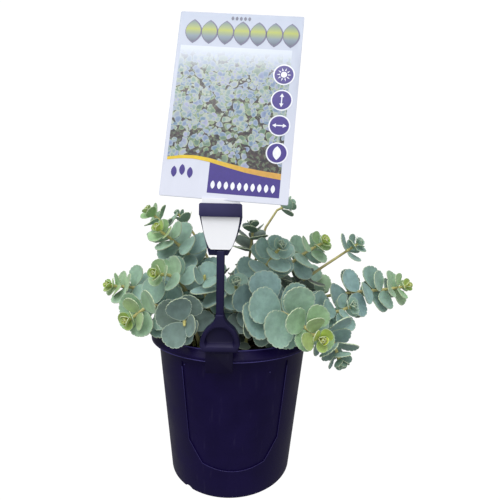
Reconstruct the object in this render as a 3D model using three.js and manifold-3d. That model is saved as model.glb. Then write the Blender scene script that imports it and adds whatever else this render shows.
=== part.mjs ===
// Potted dragon sedum: a nursery pot of soil, leafy trailing stems, and a label card in its clip-on holder.
// Millimetres, +Z up. The origin is the centre of the pot's base, and the front faces -Y.
import * as THREE from 'three';
import { mergeVertices } from 'three/addons/utils/BufferGeometryUtils.js';
import Module from 'manifold-3d';

const wasm = await Module();
wasm.setup();

// Pot
const POT_HEIGHT = 124;
const RIM_RADIUS = 70;
const RIM_EDGE_HEIGHT = 118.4;
const CROWN_RADIUS = 65.6;
const CROWN_WIDTH = 1.2;
const BODY_TOP_RADIUS = 63.7;
const BODY_TOP_HEIGHT = 114.7;
const BASE_RADIUS = 52;
const BASE_EDGE = 1.6;
const WALL = 1.7;
const FLOOR = 2.2;
const POT_SIDES = 32;
const PANEL_DEPTH = 0.8;
const PANEL_TURN_DEG = 5;
const PANEL_REACH = 50;
const DRAINS = 3;
const DRAIN_FIRST_DEG = -127;
const DRAIN_RADIUS = 5;
const DRAIN_SIDES = 12;
const DRAIN_LENGTH = 20;
const DRAIN_HEIGHT = -1.8;
const FLOOR_HOLE_RADIUS = 4;
const FLOOR_HOLE_REACH = 34;

// Soil
const SOIL_TOP = 117.5;
const SOIL_EDGE_DROP = 3;
const SOIL_SIDES = 16;
const SOIL_WAVE = 0.35;
const GAP = 0.3;

// Label card
const CARD_WIDTH = 85.4;
const CARD_LENGTH = 130.8;
const CARD_THICKNESS = 0.8;
const CARD_FOOT = [-5.1, -76.2, 228.8];
const CARD_LEAN_DEG = 10.8;
const CARD_YAW_DEG = -3.5;
const CARD_SPIN_DEG = 3.6;
const TAIL_TOP_WIDTH = 25.2;
const TAIL_BOTTOM_WIDTH = 13.5;
const TAIL_BOTTOM = 196.5;
const TAIL_SINK = 1.2;

// Label holder: a band and a back plate round the card's tail, a stalk, a hood, and a clip over the pot's rim
const HOLDER_X = -6.2;
const HOLDER_BACK = -73.5;
const BAND_WIDTH = 28;
const BAND_BOTTOM = 218;
const BAND_TOP = 226.8;
const BAND_FRONT = -78.9;
const BACK_PLATE_BOTTOM = 192.5;
const STALK_X = -5.8;
const STALK_WIDTH = 5.3;
const STALK_FRONT = -77.2;
const STALK_BEVEL = 0.6;
const STALK_BOTTOM = 146;
const STALK_TOP = 195.6;
const HOOD_FRONT = -79;
const HOOD_BACK = -70.4;
const HOOD_BEVEL = 1.8;
const ARCH_BACK = -75.4;
const TONGUE_LEFT = -15.7;
const TONGUE_RIGHT = 3.3;
const TONGUE_FRONT = -72.6;
const TONGUE_BOTTOM = 110;
const TONGUE_TOP = 129;
const BRIDGE_LEFT = -13;
const BRIDGE_RIGHT = 1;
const BRIDGE_FRONT = -74;
const BRIDGE_BOTTOM = 124.4;
const BRIDGE_TOP = 127.4;
const LEG_LEFT = -12;
const LEG_RIGHT = 0;
const LEG_FRONT = -58.2;
const LEG_BACK = -56.2;
const LEG_BOTTOM = 96;

// Outlines seen from the front, each step X and Z of its end, after those of the points that pull a curve
const SHIELD = [[-40.3, 110], [-34.6, 46], [-24, 29], [0, 20, 24, 29], [34.6, 46], [40.3, 110]];
const HOOD = [
  [-8.6, 153], [-9.2, 147, -13.6, 144], [-18.8, 139.5, -19, 132], [-17.4, 127.2], [6.2, 127.2], [8.2, 132],
  [7.6, 140.5, 2.4, 144.6], [-2.4, 148, -3, 153],
];
const ARCH = [
  [-15, 130.4], [-16, 133], [-15, 141, -10.5, 144.6, -5.6, 144.6], [-0.7, 144.6, 3.8, 141, 4.8, 133],
  [3.8, 130.4],
];

// Stems
const STEM_RADIUS = 1.6;
const STEM_SIDES = 4;
const BARE_STEP = 24;
const HOLE_SIDES = 4;
const ROOT_DEPTH = 104;
const COLLAR = 119;

// Leaf whorls of a stem, counted back from its tip: distance from the tip, leaf length and rise above square
const WHORL_FROM_TIP = [3, 8, 15, 25, 37, 50, 63, 76];
const LEAF_LENGTH = [8.5, 13.5, 18.5, 22, 24, 25, 25, 24];
const LEAF_RISE_DEG = [64, 46, 32, 20, 12, 6, 2, 0];
const LEAVES_IN_WHORL = 3;
const BLADE = 1.1;
const LEAF_FOOT = 1.05;
const LEAF_CUP = 0.14;
const NOTCH = 0.07;
const LAST_TOOTH_DEG = 118;
const SMALL_LEAF = 20.5;
const BUD_LENGTH = 4;
const BUD_RADIUS = 1.9;
const LEAF_GAP = 2.3;
const OWN_LEAF_GAP = 1.9;
const STEM_GAP = 3.1;

// Points spread over a blade, which stand for it where leaves are kept apart: share of the way out and number
const COVER_RINGS = [[0.17, 4], [0.33, 9], [0.5, 14], [0.67, 18], [0.83, 23], [1, 28]];

// Where the light comes from, which the leaves turn to
const LIGHT = [0, -0.9, 0.436];

// Each stem: its name, first and end of its whorls, leaf size, turn, how far its leaves turn to the light,
// and the points of its route above the soil
const STEMS = [
  ['upper_left', 0, 8, 0.98, 10, 0.55, [-20, -2], [-23, -5, 140], [-27, -7, 166], [-40, -10, 188],
    [-63, -16, 207]],
  ['front_right', 0, 7, 1.12, 30, 0.62, [8, -22], [10, -36, 139], [20, -48, 151], [41, -63, 150],
    [63, -80, 137]],
  ['long_right', 0, 7, 0.9, 0, 0.62, [26, 3], [50, -2, 143], [78, -8, 152], [106, -5, 156], [130, -3, 158],
    [152, 0, 161]],
  ['far_left', 0, 6, 0.92, 30, 0.62, [-31, -6], [-48, -8, 143], [-78, -9, 155], [-107, -6, 157]],
  ['right_high', 0, 3, 0.88, 50, 0.5, [20, 12], [40, 8, 145], [63, 4, 165], [84, 8, 179], [112, 14, 197]],
  ['left_low', 0, 6, 1.1, 20, 0.55, [-38, -20], [-48, -32, 142], [-60, -43, 150], [-75.5, -53, 140]],
  ['left_rosette', 0, 6, 0.92, 0, 0.4, [-24, -22], [-32, -28, 148], [-43, -37, 170], [-56, -50, 175]],
  ['centre_rosette', 0, 6, 1.05, 30, 0.4, [8, -6], [16, -9, 148], [27, -17, 178], [38, -30, 196]],
  ['right_mid', 0, 5, 0.88, 15, 0.5, [14, 4], [28, 3, 148], [44, -1, 174], [60, -4, 188], [77, -6, 199]],
  ['front_left', 2, 6, 1.02, 68, 0.5, [-29, -36], [-33, -46, 136], [-33, -56, 146], [-31, -68, 143]],
  ['front_low', 2, 6, 1.1, 0, 0.6, [12, -40], [13, -48, 131], [18, -60, 138]],
  ['low_left', 1, 5, 1, 0, 0.6, [-24, -42], [-25, -50, 130], [-27, -60, 138]],
  ['hanging_right', 0, 4, 0.98, 20, 0.3, [30, -24], [52, -38, 140], [72, -48, 136], [82, -55, 113]],
  ['rim_right', 1, 4, 1.05, 12, 0.6, [36, -34], [40, -42, 129], [44, -55, 133]],
  ['right_low', 0, 5, 1, 10, 0.6, [38, -12], [60, -18, 138], [82, -24, 142], [97, -28, 149]],
  ['behind_stalk', 1, 6, 1.05, 45, 0.5, [-13, -26], [-17, -32, 142], [-21, -38, 160], [-20, -46, 173]],
  ['middle', 0, 5, 0.95, 35, 0.5, [2, -28], [3, -34, 142], [3, -41, 160], [4, -50, 170]],
  ['top', 0, 4, 0.95, 25, 0.2, [0, 14], [8, 16, 152], [14, 18, 188], [16, 20, 211]],
  ['top_back', 0, 3, 0.75, 35, 0, [5, 30], [14, 34, 160], [27, 37, 202], [31, 40, 220], [54, 52, 233]],
  ['high_left', 0, 4, 0.9, 0, 0.2, [-18, 14], [-36, 18, 168], [-63, 20, 206], [-80, 20, 222]],
  ['small_left', 0, 3, 0.7, 50, 0, [-7, 24], [-20, 30, 164], [-38, 33, 198], [-56, 35, 220]],
  ['back_right', 0, 4, 1.05, 10, 0, [30, 24], [50, 40, 144], [72, 58, 152], [92, 70, 148]],
  ['back', 0, 5, 1.08, 40, 0, [14, 44], [16, 60, 142], [14, 80, 150], [8, 98, 145]],
  ['back_left', 0, 5, 1.08, 25, 0, [-26, 32], [-42, 48, 144], [-58, 66, 150], [-72, 80, 143]],
  ['left_back', 0, 4, 1.05, 15, 0, [-40, 8], [-58, 16, 138], [-80, 28, 142], [-96, 38, 133]],
].map(([name, first, end, size, turn, lean, ...route]) => (
  { name: `stem_${name}`, first, end, size, turn, lean, route }
));

const rad = THREE.MathUtils.degToRad;
const Z = new THREE.Vector3(0, 0, 1);
const X = new THREE.Vector3(1, 0, 0);

// Solids
function solid(geometry) {
  const bare = geometry.clone();
  bare.deleteAttribute('normal');
  bare.deleteAttribute('uv');
  const merged = mergeVertices(bare, 1e-4);
  return new wasm.Manifold(new wasm.Mesh({
    numProp: 3,
    vertProperties: merged.attributes.position.array,
    triVerts: merged.index.array,
  }));
}

function shell(vertices, faces) {
  return new wasm.Manifold(new wasm.Mesh({
    numProp: 3,
    vertProperties: new Float32Array(vertices),
    triVerts: new Uint32Array(faces),
  }));
}

function geometryOf(manifold) {
  const mesh = manifold.getMesh();
  const geometry = new THREE.BufferGeometry();
  geometry.setAttribute('position', new THREE.BufferAttribute(mesh.vertProperties, 3));
  geometry.setIndex(new THREE.BufferAttribute(mesh.triVerts, 1));
  geometry.computeVertexNormals();
  return geometry;
}

function union(solids) {
  return solids.reduce((sum, next) => sum.add(next));
}

function box(x0, x1, y0, y1, z0, z1) {
  const geometry = new THREE.BoxGeometry(x1 - x0, y1 - y0, z1 - z0);
  geometry.translate((x0 + x1) / 2, (y0 + y1) / 2, (z0 + z1) / 2);
  return solid(geometry);
}

// A plate with its outline drawn from the front in X and Z, from y0 back to y1
function plate(shape, y0, y1, bevel = 0) {
  const geometry = new THREE.ExtrudeGeometry(shape, {
    depth: y1 - y0 - 2 * bevel,
    bevelEnabled: bevel > 0,
    bevelThickness: bevel,
    bevelSize: bevel,
    bevelOffset: -bevel,
    bevelSegments: 1,
    curveSegments: 4,
  });
  geometry.rotateX(Math.PI / 2);
  geometry.translate(0, y1 - bevel, 0);
  return solid(geometry);
}

function outline([first, ...steps]) {
  const shape = new THREE.Shape();
  shape.moveTo(...first);
  for (const step of steps) {
    if (step.length === 2) {
      shape.lineTo(...step);
    } else if (step.length === 4) {
      shape.quadraticCurveTo(...step);
    } else {
      shape.bezierCurveTo(...step);
    }
  }
  return shape;
}

// A lathe about Z from a profile of radius and height that starts and ends on the axis
function turned(profile, sides) {
  const points = profile.map(([r, z]) => new THREE.Vector2(r, z));
  const geometry = new THREE.LatheGeometry(points, sides);
  geometry.rotateX(Math.PI / 2);
  return geometry;
}

function bodyRadius(z) {
  return BASE_RADIUS + (BODY_TOP_RADIUS - BASE_RADIUS) * (z - BASE_EDGE) / (BODY_TOP_HEIGHT - BASE_EDGE);
}

// Pot
function potPanel() {
  const front = plate(outline(SHIELD), -RIM_RADIUS, PANEL_REACH - RIM_RADIUS);
  const core = solid(turned([
    [0, BASE_EDGE], [BASE_RADIUS - PANEL_DEPTH, BASE_EDGE], [BODY_TOP_RADIUS - PANEL_DEPTH, BODY_TOP_HEIGHT],
    [0, BODY_TOP_HEIGHT],
  ], POT_SIDES));
  return front.subtract(core).rotate([0, 0, PANEL_TURN_DEG]);
}

function pot() {
  const inner = (z) => bodyRadius(z) - WALL;
  const shell = solid(turned([
    [0, 0], [BASE_RADIUS - BASE_EDGE, 0], [BASE_RADIUS, BASE_EDGE],
    [BODY_TOP_RADIUS, BODY_TOP_HEIGHT], [RIM_RADIUS - 0.6, RIM_EDGE_HEIGHT - 2.2],
    [RIM_RADIUS, RIM_EDGE_HEIGHT], [CROWN_RADIUS + 1.6, POT_HEIGHT - 1.6], [CROWN_RADIUS, POT_HEIGHT],
    [CROWN_RADIUS - CROWN_WIDTH, POT_HEIGHT],
    [inner(BODY_TOP_HEIGHT) + 0.6, RIM_EDGE_HEIGHT], [inner(BODY_TOP_HEIGHT), BODY_TOP_HEIGHT],
    [inner(FLOOR), FLOOR], [0, FLOOR],
  ], POT_SIDES));
  const drains = [];
  for (let i = 0; i < DRAINS; i++) {
    const turn = DRAIN_FIRST_DEG + i * 360 / DRAINS;
    const notch = new THREE.CylinderGeometry(DRAIN_RADIUS, DRAIN_RADIUS, DRAIN_LENGTH, DRAIN_SIDES);
    notch.rotateZ(Math.PI / 2);
    notch.translate(BASE_RADIUS, 0, DRAIN_HEIGHT);
    notch.rotateZ(rad(turn));
    const hole = new THREE.CylinderGeometry(FLOOR_HOLE_RADIUS, FLOOR_HOLE_RADIUS, 4 * FLOOR, DRAIN_SIDES);
    hole.rotateX(Math.PI / 2);
    hole.translate(FLOOR_HOLE_REACH, 0, 0);
    hole.rotateZ(rad(turn + 180 / DRAINS));
    drains.push(solid(notch), solid(hole));
  }
  return shell.subtract(union(drains)).subtract(potPanel());
}

// Soil
function soil(holes) {
  const inner = (z) => bodyRadius(z) - WALL - GAP;
  const edge = SOIL_TOP - SOIL_EDGE_DROP;
  const geometry = turned([
    [0, FLOOR + GAP], [inner(FLOOR) - 0.2, FLOOR + GAP], [inner(edge), edge], [54, SOIL_TOP - 1.6],
    [38, SOIL_TOP - 0.8], [20, SOIL_TOP - 0.3], [0, SOIL_TOP - 0.3],
  ], SOIL_SIDES);
  const position = geometry.attributes.position;
  for (let i = 0; i < position.count; i++) {
    const x = position.getX(i);
    const y = position.getY(i);
    const z = position.getZ(i);
    if (z > edge + 0.5) {
      position.setZ(i, z + SOIL_WAVE * Math.sin(x * 0.31 + 1) * Math.cos(y * 0.27));
    }
  }
  return solid(geometry).subtract(union(holes));
}

// Label card
function cardBody() {
  const lean = rad(CARD_LEAN_DEG);
  const yaw = rad(CARD_YAW_DEG);
  const facing = new THREE.Vector3(Math.sin(yaw), -Math.cos(yaw), 0);
  const across = new THREE.Vector3(Math.cos(yaw), Math.sin(yaw), 0);
  const along = Z.clone().multiplyScalar(Math.cos(lean)).addScaledVector(facing, -Math.sin(lean));
  const spin = rad(CARD_SPIN_DEG);
  const wide = across.clone().multiplyScalar(Math.cos(spin)).addScaledVector(along, -Math.sin(spin));
  const high = across.clone().multiplyScalar(Math.sin(spin)).addScaledVector(along, Math.cos(spin));
  const sheet = new THREE.BoxGeometry(CARD_WIDTH, CARD_THICKNESS, CARD_LENGTH);
  sheet.translate(0, 0, CARD_LENGTH / 2);
  const turn = new THREE.Matrix4().makeBasis(wide, high.clone().cross(wide), high);
  turn.setPosition(...CARD_FOOT);
  sheet.applyMatrix4(turn);
  return solid(sheet);
}

function labelCard() {
  const top = TAIL_TOP_WIDTH / 2;
  const bottom = TAIL_BOTTOM_WIDTH / 2;
  const [, y, foot] = CARD_FOOT;
  const tail = outline([
    [HOLDER_X - top, foot + TAIL_SINK], [HOLDER_X - top, BAND_BOTTOM - 1],
    [HOLDER_X - top + 1.6, TAIL_BOTTOM + 8, HOLDER_X - bottom - 0.6, TAIL_BOTTOM + 1],
    [HOLDER_X - bottom + 0.6, TAIL_BOTTOM], [HOLDER_X + bottom - 0.6, TAIL_BOTTOM],
    [HOLDER_X + bottom + 0.6, TAIL_BOTTOM + 1],
    [HOLDER_X + top - 1.6, TAIL_BOTTOM + 8, HOLDER_X + top, BAND_BOTTOM - 1],
    [HOLDER_X + top, foot + TAIL_SINK],
  ]);
  return union([cardBody(), plate(tail, y - CARD_THICKNESS / 2, y + CARD_THICKNESS / 2)]);
}

// Label holder
function holderTop() {
  const half = BAND_WIDTH / 2;
  const slotFront = CARD_FOOT[1] - CARD_THICKNESS / 2 - GAP;
  const slotBack = CARD_FOOT[1] + CARD_THICKNESS / 2 + GAP;
  const band = outline([
    [HOLDER_X - half, BAND_BOTTOM + 1], [HOLDER_X - half + 1, BAND_BOTTOM],
    [HOLDER_X + half - 1, BAND_BOTTOM], [HOLDER_X + half, BAND_BOTTOM + 1],
    [HOLDER_X + half, BAND_TOP - 0.8], [HOLDER_X + half - 0.8, BAND_TOP],
    [HOLDER_X - half + 0.8, BAND_TOP], [HOLDER_X - half, BAND_TOP - 0.8],
  ]);
  const slotHalf = TAIL_TOP_WIDTH / 2 + GAP + 0.1;
  const slot = box(HOLDER_X - slotHalf, HOLDER_X + slotHalf, slotFront, slotBack,
    BAND_BOTTOM - 2, BAND_TOP + 2);
  const back = outline([
    [HOLDER_X - half, BAND_TOP], [HOLDER_X - half, BAND_BOTTOM],
    [HOLDER_X - half + 3.4, BACK_PLATE_BOTTOM + 11.5, HOLDER_X - 7.6, BACK_PLATE_BOTTOM],
    [HOLDER_X + 5, BACK_PLATE_BOTTOM],
    [HOLDER_X + half - 1.4, BACK_PLATE_BOTTOM + 13.5, HOLDER_X + half + 0.3, BAND_BOTTOM],
    [HOLDER_X + half, BAND_TOP],
  ]);
  return union([plate(band, BAND_FRONT, HOLDER_BACK).subtract(slot), plate(back, slotBack, HOLDER_BACK)]);
}

function holderStalk() {
  const left = STALK_X - STALK_WIDTH / 2;
  const right = STALK_X + STALK_WIDTH / 2;
  const bar = outline([[left, STALK_BOTTOM], [right, STALK_BOTTOM], [right, STALK_TOP], [left, STALK_TOP]]);
  return plate(bar, STALK_FRONT, HOLDER_BACK, STALK_BEVEL);
}

function holderHood() {
  const recess = plate(outline(ARCH), HOOD_FRONT - 1, ARCH_BACK);
  return plate(outline(HOOD), HOOD_FRONT, HOOD_BACK, HOOD_BEVEL).subtract(recess);
}

function holderClip() {
  const corner = 1.5;
  const tongue = plate(outline([
    [TONGUE_LEFT, TONGUE_BOTTOM + corner], [TONGUE_LEFT + corner, TONGUE_BOTTOM],
    [TONGUE_RIGHT - corner, TONGUE_BOTTOM], [TONGUE_RIGHT, TONGUE_BOTTOM + corner],
    [TONGUE_RIGHT, TONGUE_TOP], [TONGUE_LEFT, TONGUE_TOP],
  ]), TONGUE_FRONT, HOOD_BACK);
  const bridge = box(BRIDGE_LEFT, BRIDGE_RIGHT, BRIDGE_FRONT, LEG_BACK, BRIDGE_BOTTOM, BRIDGE_TOP);
  const leg = box(LEG_LEFT, LEG_RIGHT, LEG_FRONT, LEG_BACK, LEG_BOTTOM, BRIDGE_TOP);
  return union([tongue, bridge, leg]);
}

function labelHolder() {
  return union([holderTop(), holderStalk(), holderHood(), holderClip()]);
}

function holderLegHole() {
  return box(LEG_LEFT - GAP, LEG_RIGHT + GAP, -BODY_TOP_RADIUS, LEG_BACK + GAP, LEG_BOTTOM - GAP, POT_HEIGHT);
}

// Repeatable random number from 0 to 1
function draw(seed) {
  const v = Math.sin(seed * 12.9898 + 4.1414) * 43758.5453;
  return v - Math.floor(v);
}

// Stem routes
function route(stem) {
  return stem.route.map(([x, y, z = COLLAR]) => new THREE.Vector3(x, y, z));
}

function samples(stem, count = 60) {
  const curve = new THREE.CatmullRomCurve3(route(stem), false, 'catmullrom', 0.5);
  const points = curve.getPoints(count);
  const reach = [0];
  for (let i = 1; i < points.length; i++) {
    reach.push(reach[i - 1] + points[i].distanceTo(points[i - 1]));
  }
  return { points, reach };
}

function along({ points, reach }, distance) {
  let i = 1;
  while (i < points.length - 1 && reach[i] < distance) {
    i++;
  }
  return points[i - 1].clone().lerp(points[i], (distance - reach[i - 1]) / (reach[i] - reach[i - 1]));
}

// A stem's straight lengths, cut between its whorls, and the spot of each whorl on them, from the tip back
function skeleton(stem) {
  const line = samples(stem);
  const length = line.reach.at(-1);
  const spread = 0.54 + 0.36 * stem.size;
  const skipped = WHORL_FROM_TIP[stem.first] - WHORL_FROM_TIP[0];
  const whorls = WHORL_FROM_TIP.slice(stem.first, stem.end)
    .map((d) => (d - skipped) * spread)
    .filter((d) => d < length - 7);
  const cuts = [0, ...whorls.slice(1).map((d, i) => (d + whorls[i]) / 2), whorls.at(-1) + 6];
  const bare = length - cuts.at(-1);
  const steps = Math.ceil(bare / BARE_STEP);
  for (let i = 0; i < steps; i++) {
    cuts.push(cuts.at(-1) + bare / steps);
  }
  const points = cuts.map((d) => along(line, length - d));
  const light = new THREE.Vector3(...LIGHT);
  const spots = whorls.map((d, i) => ({
    at: points[i].clone().lerp(points[i + 1], (d - cuts[i]) / (cuts[i + 1] - cuts[i])),
    axis: points[i].clone().sub(points[i + 1]).normalize().lerp(light, stem.lean).normalize(),
  }));
  return { points: points.reverse(), spots };
}

// Leaf blades: a point of a blade from its share of the way out to the edge and its angle from the leaf's tip
function bladePoint(leaf, share, angle) {
  const back = (1 - Math.cos(angle)) / 2;
  const x = LEAF_FOOT + leaf.length * 0.47 * (1 + share * Math.cos(angle));
  const y = leaf.width * 0.54 * share * Math.sin(angle) * (1 - 0.45 * back * back);
  const z = leaf.length * LEAF_CUP * (share * share * (1 - 0.6 * back) - 0.4);
  return leaf.at.clone()
    .addScaledVector(leaf.out, x)
    .addScaledVector(leaf.across, y)
    .addScaledVector(leaf.face, z);
}

function makeLeaf(spot, turn, rise, length, width) {
  const reference = Math.abs(spot.axis.z) < 0.8 ? Z : X;
  const side = spot.axis.clone().cross(reference).normalize();
  const front = side.clone().cross(spot.axis);
  const radial = side.multiplyScalar(Math.cos(turn)).addScaledVector(front, Math.sin(turn));
  const out = radial.clone().multiplyScalar(Math.cos(rise)).addScaledVector(spot.axis, Math.sin(rise));
  const face = spot.axis.clone().multiplyScalar(Math.cos(rise)).addScaledVector(radial, -Math.sin(rise));
  return { at: spot.at, out, face, across: face.clone().cross(out), length, width };
}

function cover(leaf) {
  const points = [];
  for (const [share, count] of COVER_RINGS) {
    for (let i = 0; i < count; i++) {
      points.push(bladePoint(leaf, share, 2 * Math.PI * (i + 0.5) / count - Math.PI));
    }
  }
  return points;
}

function clearOfPotAndLabel(p) {
  const r = Math.hypot(p.x, p.y);
  const aside = Math.abs(p.x - HOLDER_X);
  const inSoil = r < 60 && p.z < SOIL_TOP + 1.6;
  const inRim = r >= 60 && r < RIM_RADIUS + 2 && p.z < POT_HEIGHT + 1.6;
  const overFront = p.y < -58 && p.z < POT_HEIGHT + 3 && p.x > -42 && p.x < 54;
  const inHood = p.y < -54 && p.z < 148 && aside < 16.5;
  const inStalk = p.y < -71 && p.z < 196 && aside < 5;
  const inBand = p.y < -71 && p.z >= 190 && aside < 16.5;
  const inCard = p.y < -40 && p.z > BAND_TOP;
  return !(inSoil || inRim || overFront || inHood || inStalk || inBand || inCard);
}

function apart(points, others, gap) {
  return points.every((p) => others.every((q) => p.distanceToSquared(q) >= gap * gap));
}

function mayTouch(leaf, middle, other) {
  const joined = other.stem === leaf.stem && (other.whorl === undefined || other.whorl === leaf.whorl);
  return !joined && middle.distanceTo(other.middle) <= leaf.length * 0.7 + other.radius + 4;
}

function fits(leaf, placed) {
  const points = cover(leaf);
  const middle = bladePoint(leaf, 0, 0);
  const clear = points.every(clearOfPotAndLabel) && placed.every((other) => (
    !mayTouch(leaf, middle, other)
    || apart(points, other.points, other.stem === leaf.stem ? OWN_LEAF_GAP : other.gap)
  ));
  if (!clear) {
    return null;
  }
  return {
    stem: leaf.stem, whorl: leaf.whorl, points, middle, radius: leaf.length * 0.7, gap: LEAF_GAP, leaf,
  };
}

// A leaf is swung, lifted or made smaller until it is clear of what stands already, or else left out
function placeLeaf(spot, turn, rise, length, width, stem, whorl, placed) {
  for (const size of [1, 0.86, 0.72]) {
    for (const lift of [0, 20, -20, 40]) {
      for (const swing of [0, 18, -18]) {
        const leaf = makeLeaf(spot, turn + rad(swing), rise + rad(lift), length * size, width * size);
        leaf.stem = stem;
        leaf.whorl = whorl;
        const found = fits(leaf, placed);
        if (found) {
          placed.push(found);
          return;
        }
      }
    }
  }
}

function stemMarks(stem, index) {
  const { points } = samples(stem);
  const marks = [];
  for (let i = 0; i < points.length; i += 12) {
    const some = points.slice(i, i + 13);
    const middle = some[Math.floor(some.length / 2)];
    const radius = Math.max(...some.map((p) => p.distanceTo(middle)));
    marks.push({ stem: index, points: some, middle, radius, gap: STEM_GAP });
  }
  return marks;
}

function placeLeaves() {
  const placed = STEMS.flatMap(stemMarks);
  STEMS.forEach((stem, index) => {
    skeleton(stem).spots.forEach((spot, k) => {
      const whorl = stem.first + k;
      for (let i = 0; i < LEAVES_IN_WHORL; i++) {
        const seed = index * 100 + whorl * 10 + i;
        const length = LEAF_LENGTH[whorl] * stem.size * (0.94 + 0.14 * draw(seed));
        const width = length * (0.94 + 0.14 * draw(seed + 0.3));
        const rise = rad(LEAF_RISE_DEG[whorl] * (1 - 0.7 * stem.lean) - 6 + 12 * draw(seed + 0.5));
        const turn = rad(stem.turn + whorl * 60 + i * 120 - 8 + 16 * draw(seed + 0.7));
        placeLeaf(spot, turn, rise, length, width, index, whorl, placed);
      }
    });
  });
  return placed.filter((thing) => thing.leaf).map((thing) => thing.leaf);
}

// A leaf's edge as angle from its tip and share of the way out: teeth, notches between them and the foot
function edge(teeth) {
  const step = 2 * LAST_TOOTH_DEG / (teeth - 1);
  const rim = [];
  for (let i = 0; i < teeth; i++) {
    const angle = i * step - LAST_TOOTH_DEG;
    rim.push({ angle: rad(angle), share: 1, tooth: true });
    if (i < teeth - 1) {
      rim.push({ angle: rad(angle + step / 2), share: 1 - NOTCH, tooth: false });
    }
  }
  rim.push({ angle: Math.PI, share: 1, tooth: true });
  return rim;
}

// A blade: its upper face has the teeth and the notches, and its lower face the teeth alone
function leafSolid(leaf) {
  const rim = edge(leaf.length > SMALL_LEAF ? 5 : 4);
  const vertices = [];
  const add = (share, angle, height) => {
    vertices.push(...bladePoint(leaf, share, angle).addScaledVector(leaf.face, height).toArray());
    return vertices.length / 3 - 1;
  };
  const top = add(0, 0, BLADE / 2);
  const bottom = add(0, 0, -BLADE / 2);
  for (const point of rim) {
    point.over = add(point.share, point.angle, BLADE / 2);
    point.under = point.tooth ? add(point.share, point.angle, -BLADE / 2) : null;
  }
  const faces = [];
  let from = rim.at(-1);
  let last = from;
  for (const point of rim) {
    faces.push(top, last.over, point.over);
    if (point.tooth) {
      faces.push(bottom, point.under, from.under, from.over, from.under, point.under);
      if (last !== from) {
        faces.push(from.over, point.under, last.over);
      }
      faces.push(last.over, point.under, point.over);
      from = point;
    }
    last = point;
  }
  return shell(vertices, faces);
}

// Stems: a tube from the root up through the soil and on along the route
function stemTube(stem) {
  const [x, y] = stem.route[0];
  const path = [new THREE.Vector3(x, y, ROOT_DEPTH), ...skeleton(stem).points];
  const radii = path.map(() => STEM_RADIUS);
  const tip = path.at(-1);
  const ahead = tip.clone().sub(path.at(-2)).normalize();
  path.push(tip.clone().addScaledVector(ahead, BUD_LENGTH * 0.4));
  path.push(tip.clone().addScaledVector(ahead, BUD_LENGTH));
  radii.push(BUD_RADIUS, BUD_RADIUS * 0.4);
  const normal = new THREE.Vector3(1, 0, 0);
  const vertices = [];
  path.forEach((point, i) => {
    const before = path[Math.max(i - 1, 0)];
    const after = i < 2 ? path[1] : path[Math.min(i + 1, path.length - 1)];
    const tangent = (i < 2 ? Z : after.clone().sub(before)).clone().normalize();
    normal.addScaledVector(tangent, -normal.dot(tangent)).normalize();
    const side = tangent.clone().cross(normal);
    for (let k = 0; k < STEM_SIDES; k++) {
      const angle = 2 * Math.PI * k / STEM_SIDES;
      vertices.push(...point.clone()
        .addScaledVector(normal, radii[i] * Math.cos(angle))
        .addScaledVector(side, radii[i] * Math.sin(angle)).toArray());
    }
  });
  const faces = [];
  const last = (path.length - 1) * STEM_SIDES;
  for (let k = 0; k < STEM_SIDES; k++) {
    const next = (k + 1) % STEM_SIDES;
    for (let row = 0; row < last; row += STEM_SIDES) {
      const above = row + STEM_SIDES;
      faces.push(row + k, row + next, above + next, row + k, above + next, above + k);
    }
    if (k > 0 && next > 0) {
      faces.push(0, next, k, last, last + k, last + next);
    }
  }
  return shell(vertices, faces);
}

function stemHole(stem) {
  const [x, y] = stem.route[0];
  const bottom = ROOT_DEPTH - GAP;
  const radius = (STEM_RADIUS + GAP) / Math.cos(Math.PI / HOLE_SIDES);
  const geometry = new THREE.CylinderGeometry(radius, radius, COLLAR - bottom, HOLE_SIDES);
  geometry.rotateX(Math.PI / 2);
  geometry.translate(x, y, (COLLAR + bottom) / 2);
  return solid(geometry);
}

function leafyStem(stem, leaves) {
  return union([stemTube(stem), ...leaves.filter((leaf) => leaf.whorl > 0).map(leafSolid)]);
}

// Materials
const potPlastic = new THREE.MeshStandardMaterial({ color: '#1d1640', roughness: 0.42, metalness: 0 });
const holderPlastic = new THREE.MeshStandardMaterial({ color: '#241d4b', roughness: 0.45, metalness: 0 });
const cardPlastic = new THREE.MeshStandardMaterial({ color: '#e4e6f2', roughness: 0.35, metalness: 0 });
const pottingMix = new THREE.MeshStandardMaterial({ color: '#3a3326', roughness: 0.95, metalness: 0 });
const leafGreen = new THREE.MeshStandardMaterial({ color: '#7fa08c', roughness: 0.6, metalness: 0 });

function mesh(name, manifold, material) {
  const part = new THREE.Mesh(geometryOf(manifold), material);
  part.name = name;
  return part;
}

const group = new THREE.Group();
group.add(mesh('pot', pot(), potPlastic));
group.add(mesh('label_holder', labelHolder(), holderPlastic));
group.add(mesh('label_card', labelCard(), cardPlastic));
group.add(mesh('soil', soil([...STEMS.map(stemHole), holderLegHole()]), pottingMix));
const leaves = placeLeaves();
STEMS.forEach((stem, index) => {
  const own = leaves.filter((leaf) => leaf.stem === index);
  group.add(mesh(stem.name, leafyStem(stem, own), leafGreen));
});

export default group;
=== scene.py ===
"""Potted dragon sedum with its label card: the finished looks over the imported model."""
from functools import partial
from math import atan2, ceil, copysign, cos, exp, floor, hypot, pi, radians, sin, sqrt
from types import SimpleNamespace

import bmesh
import bpy
import numpy as np
from mathutils import Matrix, Vector, noise
from numpy.linalg import norm


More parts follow.
